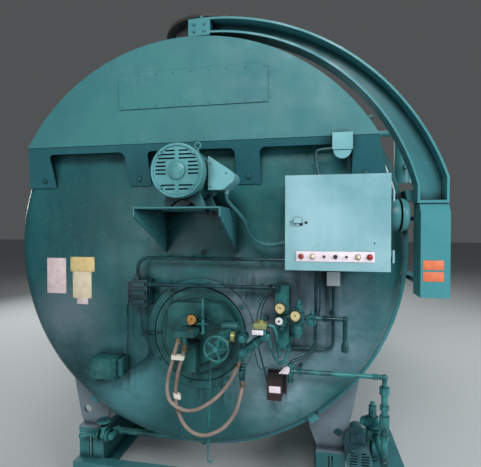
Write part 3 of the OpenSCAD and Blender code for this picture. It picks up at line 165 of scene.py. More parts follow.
# %% Mixing and sums
def mix(tree, amount, first, second):
    """Mixes two colours, each a socket or an RGBA tuple, by a socket."""
    made = node(tree, "ShaderNodeMix", data_type="RGBA")
    for index, value in ((0, amount), (6, first), (7, second)):
        if isinstance(value, tuple):
            made.inputs[index].default_value = value
        else:
            tree.links.new(value, made.inputs[index])
    return made.outputs[2]


def maths(tree, operation, *terms):
    """A Math node whose terms are sockets or numbers."""
    made = node(tree, "ShaderNodeMath", operation=operation)
    for index, term in enumerate(terms):
        if isinstance(term, float):
            made.inputs[index].default_value = term
        else:
            tree.links.new(term, made.inputs[index])
    return made.outputs[0]


# %% Shader and bump
GRIMY_SPECULAR = 0.32  # clean paint has 0.5; a film of grime mirrors less


def start_material(name, **values):
    """A material with a Principled shader, its tree and the shader node."""
    material = bpy.data.materials.new(name)
    material.use_nodes = True
    tree = material.node_tree
    shader = tree.nodes["Principled BSDF"]
    shader.inputs["Specular IOR Level"].default_value = GRIMY_SPECULAR
    for key, value in values.items():
        shader.inputs[key.replace("_", " ").title()].default_value = value
    print("material:", name)
    return material, tree, shader


def bump(tree, shader, height, strength, distance):
    """Feeds a height into the shader's normal."""
    values = {"Strength": strength, "Distance": distance}
    made = node(tree, "ShaderNodeBump", values, {"Height": height})
    tree.links.new(made.outputs[0], shader.inputs["Normal"])


# %% [markdown]
# ## Enamel on plate
#
# Boiler paint is an alkyd enamel, brushed over steel in thick coats and seldom washed. To the
# eye it is a middling gloss with clouds of wear, streaks that run down, specks of dust and
# orange peel. A photo of old paint could give that too, but it would repeat and show its
# seams. Layers of noise don't, and they fit any piece.


# %% Painted shade in corners
def painted_corner_shade(tree, colour, reach=0.07):
    """Darkens a paint colour in corners and behind parts, where shade falls: painted shade."""
    values = {"Distance": reach}
    open_air = node(tree, "ShaderNodeAmbientOcclusion", values, samples=8).outputs["AO"]
    return mix(tree, band(tree, open_air, 0.34, 0.88), linear("#07171c"), colour)


# %% Brushed enamel
# Grains per metre: clouds of 900 mm, patches of 200 mm, streaks 100 mm wide and 950 mm long.
CLOUDS, PATCHES, STREAKS = 1.1, 5.0, 3.0
RUN_DOWN = (3.2, 3.2, 0.35)
# Gloss varies over 140 mm. Real specks and orange peel are 1 to 3 mm across, too fine to
# show, so they are drawn at 26 mm and 11 mm.
GLOSS, SPECKS, PEEL = 7.0, 38.0, 90.0


def enamel(
    name, base, dark, dust, rough=0.36, streaks=0.45, speckle=0.2, peel=0.25, clouds=CLOUDS
):
    """Brush-painted steel with clouds, streaks, dust and orange peel."""
    material, tree, shader = start_material(name)
    cloud = band(tree, noise(tree, clouds, 6.0), 0.38, 0.68)
    streak = band(tree, noise(tree, STREAKS, 7.0, RUN_DOWN, 0.62), 0.5, 0.78, 0.0, streaks)
    fine = band(tree, noise(tree, SPECKS, 5.0, rough=0.7), 0.56, 0.72, 0.0, speckle)
    patch = band(tree, noise(tree, PATCHES, 8.0, rough=0.6), 0.58, 0.74, 0.0, 0.35)
    colour = mix(tree, cloud, linear(base), linear(dark))
    colour = mix(tree, patch, colour, linear(dust))
    colour = mix(tree, streak, colour, linear(dark))
    colour = mix(tree, fine, colour, linear(dust))
    # Corners and places behind parts get painted shade.
    tree.links.new(painted_corner_shade(tree, colour), shader.inputs["Base Color"])
    gloss = band(tree, noise(tree, GLOSS, 6.0), 0.3, 0.75, rough - 0.08, rough + 0.2)
    tree.links.new(gloss, shader.inputs["Roughness"])
    bump(tree, shader, noise(tree, PEEL, 3.0), peel, 0.0015)
    return material


# %% [markdown]
# ## The head's own paint
#
# The dished head gets hot and is wiped only where hands reach. It is teal at the top, darker
# with painted shade below on the left, and has painted reflections of lamps, pale on the
# right, and dark drips under the fittings. Plain noise can't know where that is. So the
# painted shade follows the place on the head, and each painted reflection and each group of
# drips is a soft round spot with its own middle and reach in metres.

# %% Where the head gets painted reflections and where it drips
# Painted reflections of lamps: the middle, reach and colour of each.
PAINTED_REFLECTIONS = (
    ((0.50, -0.2, 1.38), 0.46, "#8b93a0"),
    ((0.85, -0.2, 1.22), 0.42, "#6f8b95"),
    ((0.50, -0.2, 0.85), 0.36, "#86a6ae"),
    ((-0.85, -0.2, 1.20), 0.34, "#5c7078"),
    ((-0.45, -0.2, 0.80), 0.34, "#4f8a8f"),
)
DRIPS = (
    ((0.51, -0.2, 0.80), 0.11),
    ((0.63, -0.2, 1.13), 0.13),
    ((0.08, -0.2, 1.96), 0.2),
    ((0.11, -0.2, 0.83), 0.2),
    ((-0.44, -0.2, 0.84), 0.12),
    ((0.75, -0.2, 1.46), 0.2),
    ((0.30, -0.2, 1.42), 0.16),
)


def spot(tree, place, point, reach, core, strength=1.0):
    """A round spot: full within reach * core of point, and gone beyond reach."""
    away = node(tree, "ShaderNodeVectorMath", {1: point}, {0: place}, operation="DISTANCE")
    return band(tree, away.outputs["Value"], reach, reach * core, 0.0, strength)


print("spots on the head:", len(PAINTED_REFLECTIONS) + len(DRIPS))


# %% Head enamel
def dish_enamel(name):
    """The head's paint: teal, painted shade low on the left, painted reflections in spots."""
    material, tree, shader = start_material(name)
    place = node(tree, "ShaderNodeTexCoord").outputs["Object"]
    parts = node(tree, "ShaderNodeSeparateXYZ", links={0: place}).outputs
    across, up = parts[0], parts[2]

    # Clouds of 1.1 m, breaks in the painted reflections of 600 mm, drips 38 mm wide and
    # 770 mm long, specks of 24 mm.
    cloud = band(tree, noise(tree, 0.9, 6.0), 0.36, 0.66)
    streak = band(tree, noise(tree, 2.4, 7.0, (2.6, 2.6, 0.5), 0.62), 0.46, 0.72, 0.0, 0.6)
    fine = band(tree, noise(tree, 42.0, 5.0, rough=0.7), 0.56, 0.72, 0.0, 0.3)
    reflection_breakup = band(tree, noise(tree, 1.7, 8.0, (1.0, 1.0, 1.5), 0.66), 0.4, 0.58, 0.15, 0.9)
    drips = band(tree, noise(tree, 26.0, 4.0, (1.0, 1.0, 0.05), 0.6), 0.5, 0.62)
    # Darker towards the lower left: painted shade.
    left, below = band(tree, across, 0.25, -0.9), band(tree, up, 1.55, 0.85)
    left_low_shade = maths(tree, "MULTIPLY", left, below)
    left_low_shade = maths(tree, "MULTIPLY", left_low_shade, band(tree, cloud, 0.0, 1.0, 0.95, 0.6))

    colour = mix(tree, cloud, linear("#2c6b6a"), linear("#1c5155"))
    colour = mix(tree, left_low_shade, colour, linear("#0d262d"))
    colour = mix(tree, streak, colour, linear("#184048"))
    # Painted reflections of lamps, broken up by a noise.
    for point, reach, reflection_colour in PAINTED_REFLECTIONS:
        amount = maths(tree, "MULTIPLY", spot(tree, place, point, reach, 0.3), reflection_breakup)
        colour = mix(tree, amount, colour, linear(reflection_colour))
    for point, reach in DRIPS:
        amount = maths(tree, "MULTIPLY", spot(tree, place, point, reach, 0.45, 0.75), drips)
        colour = mix(tree, amount, colour, linear("#10262c"))
    colour = mix(tree, fine, colour, linear("#5d858b"))
    # Corners and places behind the fittings get painted shade.
    tree.links.new(painted_corner_shade(tree, colour, 0.11), shader.inputs["Base Color"])
    gloss = band(tree, noise(tree, 6.0, 6.0), 0.3, 0.75, 0.2, 0.46)
    tree.links.new(gloss, shader.inputs["Roughness"])
    bump(tree, shader, noise(tree, 70.0, 3.0), 0.4, 0.0015)
    return material


# %% [markdown]
# ## Every coat of enamel
#
# All steel on this boiler got the same teal, yet its parts differ in age and in how much they
# were handled. One shared coat would look new and flat. So each coat names its clean, dark
# and dusty colour, then its roughness, streaks, specks, peel and clouds. Small parts get
# small clouds, of 110 to 450 mm, so that some of each colour shows on them.

# %% Large plates
# Plate that was rolled and brushed: even, with a middling gloss. The casing is chalkier.
TEAL = enamel("teal_enamel", "#417f82", "#2c6468", "#6f9a9c")
CASING = enamel("casing_enamel", "#40807f", "#336d72", "#5f8f93", 0.5, 0.25, 0.12)
# The apron is darker than the casing: painted shade on the band that slopes back under it.
APRON_IN_SHADE = enamel("apron_shade_enamel", "#29656c", "#1d535a", "#57888c", 0.42, 0.25, 0.12)
HEAD = dish_enamel("head_enamel")
SADDLE = enamel("saddle_enamel", "#77878f", "#55676f", "#98a5ab", 0.42, 0.4, 0.25)
ARM = enamel("davit_enamel", "#438a8f", "#32757b", "#74a6a9", 0.36, 0.2, 0.1)
BODY = enamel("jacket_enamel", "#47807f", "#346a6c", "#7b9f9f", 0.45, 0.35, 0.15)

# %% Machines, valves and boxes
# Cast and oily: nearly black in patches, darker still in the hollows from painted shade,
# glossier than plate, and pale on worn edges.
PUMP = enamel("pump_enamel", "#43747a", "#1b3c42", "#87a5a8", 0.3, 0.5, 0.25, 0.25, 6.0)
DEEP = enamel("burner_enamel", "#2c6967", "#123435", "#5f918d", 0.3, 0.5, 0.25, 0.3, 6.0)
PIPE = enamel("pipe_enamel", "#1d474c", "#081f26", "#5b8a8c", 0.22, 0.5, 0.2, 0.25, 9.0)
VALVE = enamel("valve_enamel", "#38807f", "#0f373c", "#86b8b5", 0.2, 0.6, 0.25, 0.2, 9.0)
# Sprayed at their makers: paler and cleaner than what was brushed on site.
PALE = enamel("cabinet_enamel", "#93bcc2", "#62979d", "#a9c7cc", 0.32, 0.3, 0.08, 0.12, 2.2)
MOTOR = enamel("motor_enamel", "#5a989b", "#3d7b7e", "#8fbcbd", 0.32, 0.35, 0.2, 0.2, 5.0)
BOXES = enamel("box_enamel", "#6fa9ad", "#4f8b90", "#a2c8ca", 0.34, 0.3, 0.15, 0.2, 5.0)
BROWN = enamel("brown_enamel", "#3b2b2c", "#241a1c", "#5d4b49", 0.4, 0.3, 0.2)
GREY = enamel("grey_box", "#b9c4c6", "#93a2a6", "#d0d6d6", 0.5, 0.3, 0.15)
# Dark, dull paint for thin rings in open joints and round bolts: painted shade in the gaps.
GAP_SHADE = enamel("gap_shade_enamel", "#22383c", "#142226", "#47585a", 0.45, 0.3, 0.2)

# %% [markdown]
# ## Surfaces that aren't painted
#
# The flue, the tube sheet and the furnace are steel under soot and scale, matt and brown. The
# head's lining is cast refractory, pale and as rough as concrete. The safety valves are cast
# bronze, dulled by heat. A metal shader would suit clean bronze, but a crust hides the metal
# on all of these, so the paint's function serves with other colours and a stronger bump.

# %% Soot, refractory, scale and bronze
SOOT = enamel("sooty_steel", "#5d5a57", "#2f2c2a", "#8b8178", 0.62, 0.5, 0.4, 0.5)
LINING = enamel("refractory", "#b3a48a", "#8a7a63", "#c9bda6", 0.9, 0.3, 0.4, 1.0, 4.0)
FURNACE = enamel("furnace_scale", "#6e4f3f", "#3d2b25", "#93786a", 0.8, 0.4, 0.4, 0.6)
BRONZE = enamel("cast_bronze", "#84683f", "#5d4526", "#a28a5f", 0.45, 0.3, 0.3, 0.4, 8.0)


# %% [markdown]
# ## Metal, plastic and plates
#
# Gauge rims, hose ends and screws are brass or plated steel. Dials, lenses, ties and labels
# are moulded plastic or thin sheet. A few pixels show each, so they get less than the paint
# does: a colour that clouds over 33 to 45 mm, an uneven gloss and a faint grain. One maker
# serves both, and only metal has a metallic value.


# %% Small finishes
def small_finish(name, colours, clouds, shine, grain, metallic=0.0):
    """A cloudy colour, an uneven gloss and a faint grain, each with its scale and detail."""
    material, tree, shader = start_material(name, metallic=metallic)
    cloud = band(tree, noise(tree, *clouds), 0.35, 0.7)
    colour = mix(tree, cloud, *[linear(c) for c in colours])
    tree.links.new(colour, shader.inputs["Base Color"])
    scale, detail, smoothest, roughest = shine
    gloss = band(tree, noise(tree, scale, detail), 0.3, 0.7, smoothest, roughest)
    tree.links.new(gloss, shader.inputs["Roughness"])
    scale, detail, strength, depth = grain
    bump(tree, shader, noise(tree, scale, detail), strength, depth)
    return material


def metal(name, colour, other, rough, metallic=1.0):
    """Bare or plated metal: tarnish over 45 mm, gloss over 17 mm, a grain of 5 mm."""
    shine, grain = (60.0, 4.0, rough - 0.06, rough + 0.15), (220.0, 2.0, 0.1, 0.0005)
    return small_finish(name, (colour, other), (22.0, 6.0), shine, grain, metallic)


def plastic(name, colour, other, rough):
    """Moulded plastic or enamelled sheet: mottled over 33 mm, with a grain of 6 mm."""
    shine, grain = (80.0, 3.0, rough - 0.05, rough + 0.12), (160.0, 3.0, 0.08, 0.0006)
    return small_finish(name, (colour, other), (30.0, 5.0), shine, grain)


# %% Brass and steel
# Brass tarnishes brown; where oil stood on it, green salts hide about half of the metal.
BRASS = metal("tarnished_brass", "#8d7247", "#5f4a2b", 0.34)
PALE_BRASS = metal("green_brass", "#a8aa70", "#7c8f62", 0.35, 0.5)
# Crimped, zinc-plated and blackened steel: grey to nearly black, with soft highlights.
FERRULE = metal("hose_ferrule", "#a08f78", "#6f5f4e", 0.42)
STEEL = metal("zinc_steel", "#a5aaab", "#7f8688", 0.38)
DARK_STEEL = metal("black_steel", "#3a4143", "#24292b", 0.45)

# %% Dials, plates, lenses and ties
# Sun and heat turned the dials yellow and the plates pink or cream, all of them matt.
DIAL = plastic("dial_face", "#b88b50", "#8f6a3c", 0.35)
CREAM_DIAL = plastic("cream_dial", "#cfc293", "#b3a878", 0.35)
INK = plastic("dial_ink", "#20201e", "#2d2b28", 0.5)
PLATE_PINK = plastic("bare_plate", "#dccbc9", "#cbb5b4", 0.45)
PLATE_CREAM = plastic("cream_plate", "#ddd0b4", "#cdbf9f", 0.45)
PLATE_YELLOW = plastic("yellow_plate", "#dcc68c", "#cdb374", 0.45)
PLATE_ORANGE = plastic("orange_plate", "#df7c55", "#c86846", 0.45)
STRIP = plastic("indicator_plate", "#ecdfe3", "#dccfd6", 0.4)
# Polished lenses are the smoothest things here, so each shows a small bright highlight.
LAMP_RED = plastic("red_lens", "#a8322f", "#8f2827", 0.18)
LAMP_DARK = plastic("maroon_button", "#5a2026", "#43181d", 0.3)
LAMP_CLEAR = plastic("clear_lens", "#ead9bd", "#dcc6a2", 0.18)
KNOB = plastic("black_knob", "#1e1a1e", "#2a262a", 0.35)
TIE = plastic("cable_tie", "#e4e0d2", "#d2cdbc", 0.4)
WHITE_KNOB = plastic("pale_knob", "#dcdcd6", "#c8cac6", 0.35)

# %% [markdown]
# ## Braided hose
#
# A burner's oil hose wears a woven sleeve: matt, pale, and stained where it sags. Modelling
# the strands would cost a million faces, so the weave is a pattern. It has to follow the
# bends, so it reads the tube's own UV map, and two sets of leaning waves cross in it.

# %% Hose braid
STRANDS_ROUND = 14.0
# Real strands are about 2 mm wide. At 260 rows a metre these are 4 mm, or they wouldn't show.
ROWS_PER_METRE = 260.0


def braid(name, base, dark):
    """Woven sleeve that reads a UV map with u round the hose and v along it in metres."""
    material, tree, shader = start_material(name, roughness=0.75)
    uv = node(tree, "ShaderNodeUVMap", uv_map="along").outputs[0]
    waves = []
    for lean in (STRANDS_ROUND, -STRANDS_ROUND):
        scale = {"Scale": (lean, ROWS_PER_METRE, 1.0)}
        turned = node(tree, "ShaderNodeMapping", scale, {"Vector": uv}).outputs[0]
        parts = node(tree, "ShaderNodeSeparateXYZ", links={0: turned}).outputs
        angle = maths(tree, "MULTIPLY", maths(tree, "ADD", parts[0], parts[1]), math.tau)
        waves.append(band(tree, maths(tree, "SINE", angle), -1.0, 1.0))
    weave = maths(tree, "MAXIMUM", *waves)
    stain = band(tree, noise(tree, 9.0, 5.0), 0.4, 0.7, 0.0, 0.7)
    colour = mix(tree, band(tree, weave, 0.3, 0.95), linear(dark), linear(base))
    colour = mix(tree, stain, colour, linear("#6f6058"))
    tree.links.new(colour, shader.inputs["Base Color"])
    bump(tree, shader, weave, 0.8, 0.0015)
    return material


HOSE = braid("hose_braid", "#b3a294", "#71625a")

# %% [markdown]
# ## Drums and boxes
#
# Most fittings on a boiler are turned or folded: drums, cones and boxes. Each helper adds one
# such form to a bmesh, so a piece can hold many of them as one mesh. Blender's own cone and
# cube serve here. A box may get rounded edges, because real plate never ends in a knife-sharp
# one, and a round edge catches a thin line of light.


# %% A drum and a box
def frame_of(axis):
    """A rotation that takes +Z to axis."""
    return Vector(axis).normalized().to_track_quat("Z", "Y").to_matrix().to_4x4()


def drum(bm, start, end, r, sides=32, end_r=None):
    """A cylinder from start to end, or a cone if the end has a radius of its own."""
    start, end = Vector(start), Vector(end)
    bmesh.ops.create_cone(
        bm,
        cap_ends=True,
        segments=sides,
        radius1=r,
        radius2=r if end_r is None else end_r,
        depth=(end - start).length,
        matrix=Matrix.Translation((start + end) / 2) @ frame_of(end - start),
    )


def brick(bm, low, high, rounding=0.0):
    """A box between two corners, with rounded edges if a rounding is given."""
    low, high = Vector(low), Vector(high)
    place = Matrix.Translation((low + high) / 2) @ Matrix.Diagonal((*(high - low), 1.0))
    made = bmesh.ops.create_cube(bm, size=1.0, matrix=place)
    if rounding:
        edges = {e for v in made["verts"] for e in v.link_edges}
        bmesh.ops.bevel(
            bm,
            geom=list(edges),
            offset=rounding,
            segments=2,
            profile=0.5,
            affect="EDGES",
            material=-1,
        )


# %% [markdown]
# ## Turned forms
#
# Rims, knobs, lenses and rivets come off a lathe, and a lathe is what bmesh's spin does: a
# line of (radius, height) points goes once round an axis. A Screw modifier would do too, but
# one mesh may hold dozens of such forms, each with its own place. So a form is turned at the
# origin, its pole is welded, and then it is put in place.


# %% A turned form and a bolt
def looking(point, axis=OUT):
    """The place of a turned form that stands on point and looks along axis."""
    return Matrix.Translation(Vector(point)) @ frame_of(axis)


def revolve(bm, profile, place, sides=48):
    """Turns (radius, height) points about the local Z axis of place."""
    before = set(bm.verts)
    line = [bm.verts.new((radius, 0.0, height)) for radius, height in profile]
    edges = [bm.edges.new(pair) for pair in zip(line, line[1:])]
    bmesh.ops.spin(
        bm,
        geom=line + edges,
        cent=(0.0, 0.0, 0.0),
        axis=(0.0, 0.0, 1.0),
        angle=math.tau,
        steps=sides,
        use_merge=True,
    )
    turned = [v for v in bm.verts if v not in before]
    bmesh.ops.remove_doubles(bm, verts=turned, dist=1e-6)
    turned = [v for v in bm.verts if v not in before]
    bmesh.ops.transform(bm, matrix=place, verts=turned)


def bolt(bm, point, r, axis=OUT):
    """A hex head with its washer, turned by a little chance."""
    place = looking(point, axis)
    washer = [(0.0, 0.0), (r * 1.5, 0.0), (r * 1.5, r * 0.2), (r, r * 0.2)]
    revolve(bm, washer, place, 20)
    spin = Matrix.Rotation(random.uniform(0, 1.0), 4, "Z")
    head = [(r * 1.05, r * 0.2), (r * 1.05, r * 0.75), (r * 0.85, r * 0.9), (0.0, r * 0.9)]
    revolve(bm, head, place @ spin, 6)


# %% [markdown]
# ## Lines
#
# Hoses hang in soft curves, while pipes are straight between bends of one radius. Either
# could be a curve object, but both shall end as plain points. A hose's line is a spline
# through given points. A pipe's keeps its straight runs and only rounds the corners.


# %% A hanging line, its length, and a bent line
def spline(points, steps=8):
    """A smooth line through given points."""
    points = [Vector(p) for p in points]
    line = []
    for i in range(len(points) - 1):
        a, b = points[max(i - 1, 0)], points[i]
        c, d = points[i + 1], points[min(i + 2, len(points) - 1)]
        slope, sag, swing = c - a, 2 * a - 5 * b + 4 * c - d, 3 * b - a - 3 * c + d
        for s in range(steps):
            t = s / steps
            line.append(0.5 * (2 * b + slope * t + sag * t * t + swing * t**3))
    line.append(points[-1])
    return line


def length_of(line):
    """Length of a line through points."""
    return sum((b - a).length for a, b in zip(line, line[1:]))


def bend_line(points, radius, steps=5):
    """Rounds the corners of a line, as a bent tube has them."""
    points = [Vector(p) for p in points]
    line = [points[0]]
    for before, corner, after in zip(points, points[1:], points[2:]):
        back, ahead = before - corner, after - corner
        reach = min(radius, back.length / 2, ahead.length / 2)
        first = corner + back.normalized() * reach
        last = corner + ahead.normalized() * reach
        for s in range(steps + 1):
            t = s / steps
            line.append(first.lerp(corner, t).lerp(corner.lerp(last, t), t))
    line.append(points[-1])
    return line


# %% [markdown]
# ## Tubes
#
# A curve with a bevel makes a tube in two clicks, but it can't share a mesh with other forms,
# and its UV map isn't in metres. So a circle is extruded from point to point of the line and
# set square to it. Bridging separate circles would do too, but it guesses which corners
# belong together, and may twist the tube. The UV map counts turns across and metres along.


# %% A tube along a line
def extend(bm, ring, points):
    """Extrudes a ring of vertices to new points, and returns the new ring and its faces."""
    edges = [bm.edges.get(pair) for pair in zip(ring, ring[1:] + ring[:1])]
    made = bmesh.ops.extrude_edge_only(bm, edges=edges)["geom"]
    fresh = {item for item in made if isinstance(item, bmesh.types.BMVert)}
    ring = [next(o for e in v.link_edges if (o := e.other_vert(v)) in fresh) for v in ring]
    for vert, point in zip(ring, points):
        vert.co = point
    return ring, [item for item in made if isinstance(item, bmesh.types.BMFace)]


def tube(bm, line, r, sides=12, uv_name=None):
    """A tube along a line, with closed ends and, if asked, a UV map in turns and metres."""
    layer = bm.loops.layers.uv.new(uv_name) if uv_name else None
    last = len(line) - 1
    across = (line[1] - line[0]).orthogonal()
    ring = bmesh.ops.create_circle(bm, cap_ends=True, segments=sides, radius=r)["verts"]
    circle = [v.co.copy() for v in ring]
    run, faces, counts = 0.0, [], {}
    for i, point in enumerate(line):
        ahead = (line[min(i + 1, last)] - line[max(i - 1, 0)]).normalized()
        across = (across - ahead * across.dot(ahead)).normalized()
        place = Matrix((across.cross(ahead), across, ahead)).transposed().to_4x4()
        place.translation = point
        if i == 0:
            bmesh.ops.transform(bm, matrix=place, verts=ring)
        else:
            run += (point - line[i - 1]).length
            ring, made = extend(bm, ring, [place @ co for co in circle])
            faces += made
        counts.update({v: (k / sides, run) for k, v in enumerate(ring)})
    bm.faces.new(ring)
    for face in faces if layer else ():
        at_seam = max(counts[v][0] for v in face.verts) > 0.5
        for loop in face.loops:
            turn, metres = counts[loop.vert]
            loop[layer].uv = (1.0 if at_seam and turn == 0 else turn, metres)


# %% [markdown]
# ## From a bmesh to a piece
#
# Every piece ends in the same way: its normals point out, its soft faces are shaded smooth
# while sharp edges stay, and it rides on a CAD body, so it moves when the head swings or the
# door opens. It could be parented by hand, but one function does it all and says what it made.


# %% A finished piece
def piece(name, bm, material, body, smooth=40.0):
    """Makes the object, shades it, gives it its material and lets it ride on a body."""
    bmesh.ops.remove_doubles(bm, verts=bm.verts, dist=1e-6)
    bmesh.ops.recalc_face_normals(bm, faces=bm.faces)
    mesh = bpy.data.meshes.new(name)
    bm.to_mesh(mesh)
    bm.free()
    mesh.materials.append(material)
    made = bpy.data.objects.new(name, mesh)
    bpy.context.scene.collection.objects.link(made)
    for face in mesh.polygons:
        face.use_smooth = True
    mesh.set_sharp_from_angle(angle=math.radians(smooth))
    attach(made, body)
    print(f"{name}: {len(mesh.polygons)} faces, rides on {body}")
    return made


# %% [markdown]
# ## The two fuel hoses
#
# They carry oil to the burner gun and back, and hang in loops between the gun and the fuel
# manifold. A simulated rope would hang well too, but these points are those of the CAD
# solids, so the dressed hose lies just where the checked one does and is as long.

# %% Hose routes
HOSE_R = 0.010
UPPER = (
    (-0.006, -0.42, 1.186), (-0.006, -0.42, 1.172), (-0.019, -0.422, 1.125),
    (-0.038, -0.427, 1.05), (-0.058, -0.431, 0.975), (-0.065, -0.434, 0.915),
    (-0.058, -0.435, 0.862), (-0.036, -0.434, 0.826), (0.01, -0.43, 0.798),
    (0.061, -0.426, 0.791), (0.117, -0.422, 0.807), (0.185, -0.42, 0.851),
    (0.24, -0.418, 0.905), (0.289, -0.417, 0.973), (0.318, -0.416, 1.034),
    (0.33, -0.416, 1.062), (0.335, -0.416, 1.078),
)
LOWER = (
    (0.031, -0.42, 1.147), (0.031, -0.42, 1.134), (0.022, -0.418, 1.095),
    (0.008, -0.412, 1.05), (-0.014, -0.404, 0.982), (-0.027, -0.4, 0.9),
    (-0.03, -0.398, 0.85), (-0.024, -0.398, 0.795), (-0.008, -0.4, 0.752),
    (0.014, -0.404, 0.712), (0.048, -0.408, 0.678), (0.095, -0.412, 0.658),
    (0.148, -0.412, 0.657), (0.195, -0.41, 0.674), (0.244, -0.406, 0.705),
    (0.286, -0.4, 0.752), (0.316, -0.396, 0.808), (0.334, -0.392, 0.874),
    (0.345, -0.39, 0.93), (0.345, -0.39, 0.965),
)

# %% Hoses
for name, points, node_name in (
    ("hose_upper", UPPER, "fuel_hose_upper"),
    ("hose_lower", LOWER, "fuel_hose_lower"),
):
    line = spline(points)
    bm = bmesh.new()
    tube(bm, line, HOSE_R, 16, "along")
    hose = piece(name, bm, HOSE, "front_head", 60.0)
    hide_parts(node_name)
    print(f"{name}: {length_of(line):.3f} m long")

# %% [markdown]
# ## Paint on the CAD nodes
#
# Plates, beams and castings are already right in shape. Copying them into new meshes would
# gain nothing, so each keeps its CAD mesh and only gets a better surface, from one table.

# %% Which coat goes on which node
COATS = (
    (BODY, "jacket rear_head steam_nozzle manway lifting_lugs"),
    (ARM, "jacket_straps body_rings davit_housing head_ring davit_arm"),
    (SOOT, "front_tube_sheet flue_outlet"),
    (FURNACE, "furnace"),
    (LINING, "head_lining"),
    (BRONZE, "safety_valves"),
    (TEAL, "skid_beams skid_crossmembers water_column pump_shelf motor_shelf"),
    (TEAL, "cabinet_brackets motor_lead"),
    (SADDLE, "front_saddles rear_saddles"),
    (HEAD, "head_dish"),
    (CASING, "upper_casing access_cover"),
    (APRON_IN_SHADE, "casing_apron"),
    (MOTOR, "fan_motor motor_end_bell"),
    (BOXES, "terminal_box limit_hood"),
    (PALE, "control_cabinet cabinet_door"),
    (GREY, "outlet_box"),
    (BROWN, "ignition_transformer"),
    (DEEP, "burner_cover burner_gun air_switch"),
    (VALVE, "fuel_regulator fuel_riser blowdown_valve burner_gauge handwheel"),
    (VALVE, "wheel_valve fuel_manifold air_regulators fuel_line"),
    (PIPE, "air_line junction_box conduits"),
    (PUMP, "air_pump"),
)


def coat(node_name, material):
    """Gives a CAD node one material."""
    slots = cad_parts[node_name].data.materials
    slots.clear()
    slots.append(material)


for material, names in COATS:
    for node_name in names.split():
        coat(node_name, material)
print("CAD nodes with a new coat:", sum(len(names.split()) for _, names in COATS))

# %% [markdown]
# ## Gauge glass
#
# The water level stands in a tube of borosilicate glass. Clear glass is transmission with an
# IOR of 1.5 and hardly any roughness. A mix with a transparent shader would be quicker to
# render, but wouldn't bend light. A faint, uneven green keeps it from looking like a hole.

# %% Glass
GLASS_IOR = 1.5
glass, tree, shader = start_material("gauge_glass", roughness=0.05, transmission_weight=0.9)
shader.inputs["IOR"].default_value = GLASS_IOR
cloud = band(tree, noise(tree, 30.0), 0.3, 0.7)
tint = mix(tree, cloud, linear("#e4efee"), linear("#cfe0de"))
tree.links.new(tint, shader.inputs["Base Color"])
coat("gauge_glass", glass)

# %% [markdown]
# ## Hose ends
#
# A hose ends in a ferrule that is crimped over the braid, with a collar beyond it. A turned
# profile could show the crimps, but two short drums are enough at this size. They stand on
# the hose's own line, so they lean with it.

# %% Ferrules
bm = bmesh.new()
for points in (UPPER, LOWER):
    line = spline(points)
    for end, inner in ((line[0], line[3]), (line[-1], line[-4])):
        along = (inner - end).normalized()
        sleeve_end = end + along * 0.03
        drum(bm, end + along * 0.001, sleeve_end, HOSE_R * 1.35, 20, HOSE_R * 1.2)
        drum(bm, sleeve_end, end + along * 0.036, HOSE_R * 1.35, 20)
piece("hose_ferrules", bm, FERRULE, "front_head")

# %% [markdown]
# ## Hose ties
#
# Two plastic ties hold the hoses: one runs round both, one round the lower hose and its own
# lock. A tie is a flat band pulled round two circles. Two half drums and two plates would
# show their joints. So its outline is one circle whose halves are moved apart, extruded to
# its four corners in turn and back to the first, where `piece` welds it shut.

# %% Ties
TIE_SIDES = 24
SLACK = 0.0004


def nearest(points, height):
    """The first place at which a line through points comes down to a height."""
    return next(p for p in spline(points) if p.z < height)


def strap(bm, first, second, r, axis, height, thick):
    """A flat band that runs round two circles."""
    axis = Vector(axis).normalized()
    across = (second - first).normalized()
    side = axis.cross(across).normalized()
    turn = Matrix((across, side, axis)).transposed().to_4x4()
    turn = turn @ Matrix.Rotation(math.pi / TIE_SIDES, 4, "Z")
    ring = bmesh.ops.create_circle(bm, segments=TIE_SIDES, radius=1.0, matrix=turn)["verts"]
    spokes = [v.co.copy() for v in ring]
    middles = [first if spoke.dot(across) < 0 else second for spoke in spokes]
    for vert, spoke, middle in zip(ring, spokes, middles):
        vert.co = middle + spoke * r - axis * height / 2
    for reach, lift in ((r + thick, -1), (r + thick, 1), (r, 1), (r, -1)):
        shift = axis * lift * height / 2
        corners = [m + spoke * reach + shift for m, spoke in zip(middles, spokes)]
        ring, _ = extend(bm, ring, corners)


bm = bmesh.new()
left, right = nearest(UPPER, 1.086), nearest(LOWER, 1.076)
strap(bm, left, right, HOSE_R + SLACK, (0.22, 0.0, 1.0), 0.024, 0.003)
right = nearest(LOWER, 0.862)
lock = right + Vector((0.018, 0.0, -0.004))
strap(bm, right, lock, HOSE_R + SLACK, (-0.1, 0.0, 1.0), 0.026, 0.003)
piece("hose_ties", bm, TIE, "front_head")

# %% [markdown]
# ## Fan motor
#
# The motor that drives the air fan has a cast end bell with a rolled rim and a plug over its
# shaft. They could be cut into the CAD solid, but a rim of 2 mm is only there for the light
# that it catches. Both are turned forms, measured from the box of the CAD bell.

# %% Rim and shaft plug
bell_low, bell_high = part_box("motor_end_bell")
motor = Vector(((bell_low.x + bell_high.x) / 2, bell_low.y, (bell_low.z + bell_high.z) / 2))
motor_r = (bell_high.x - bell_low.x) / 2
print(f"end bell {2000 * motor_r:.0f} mm across")

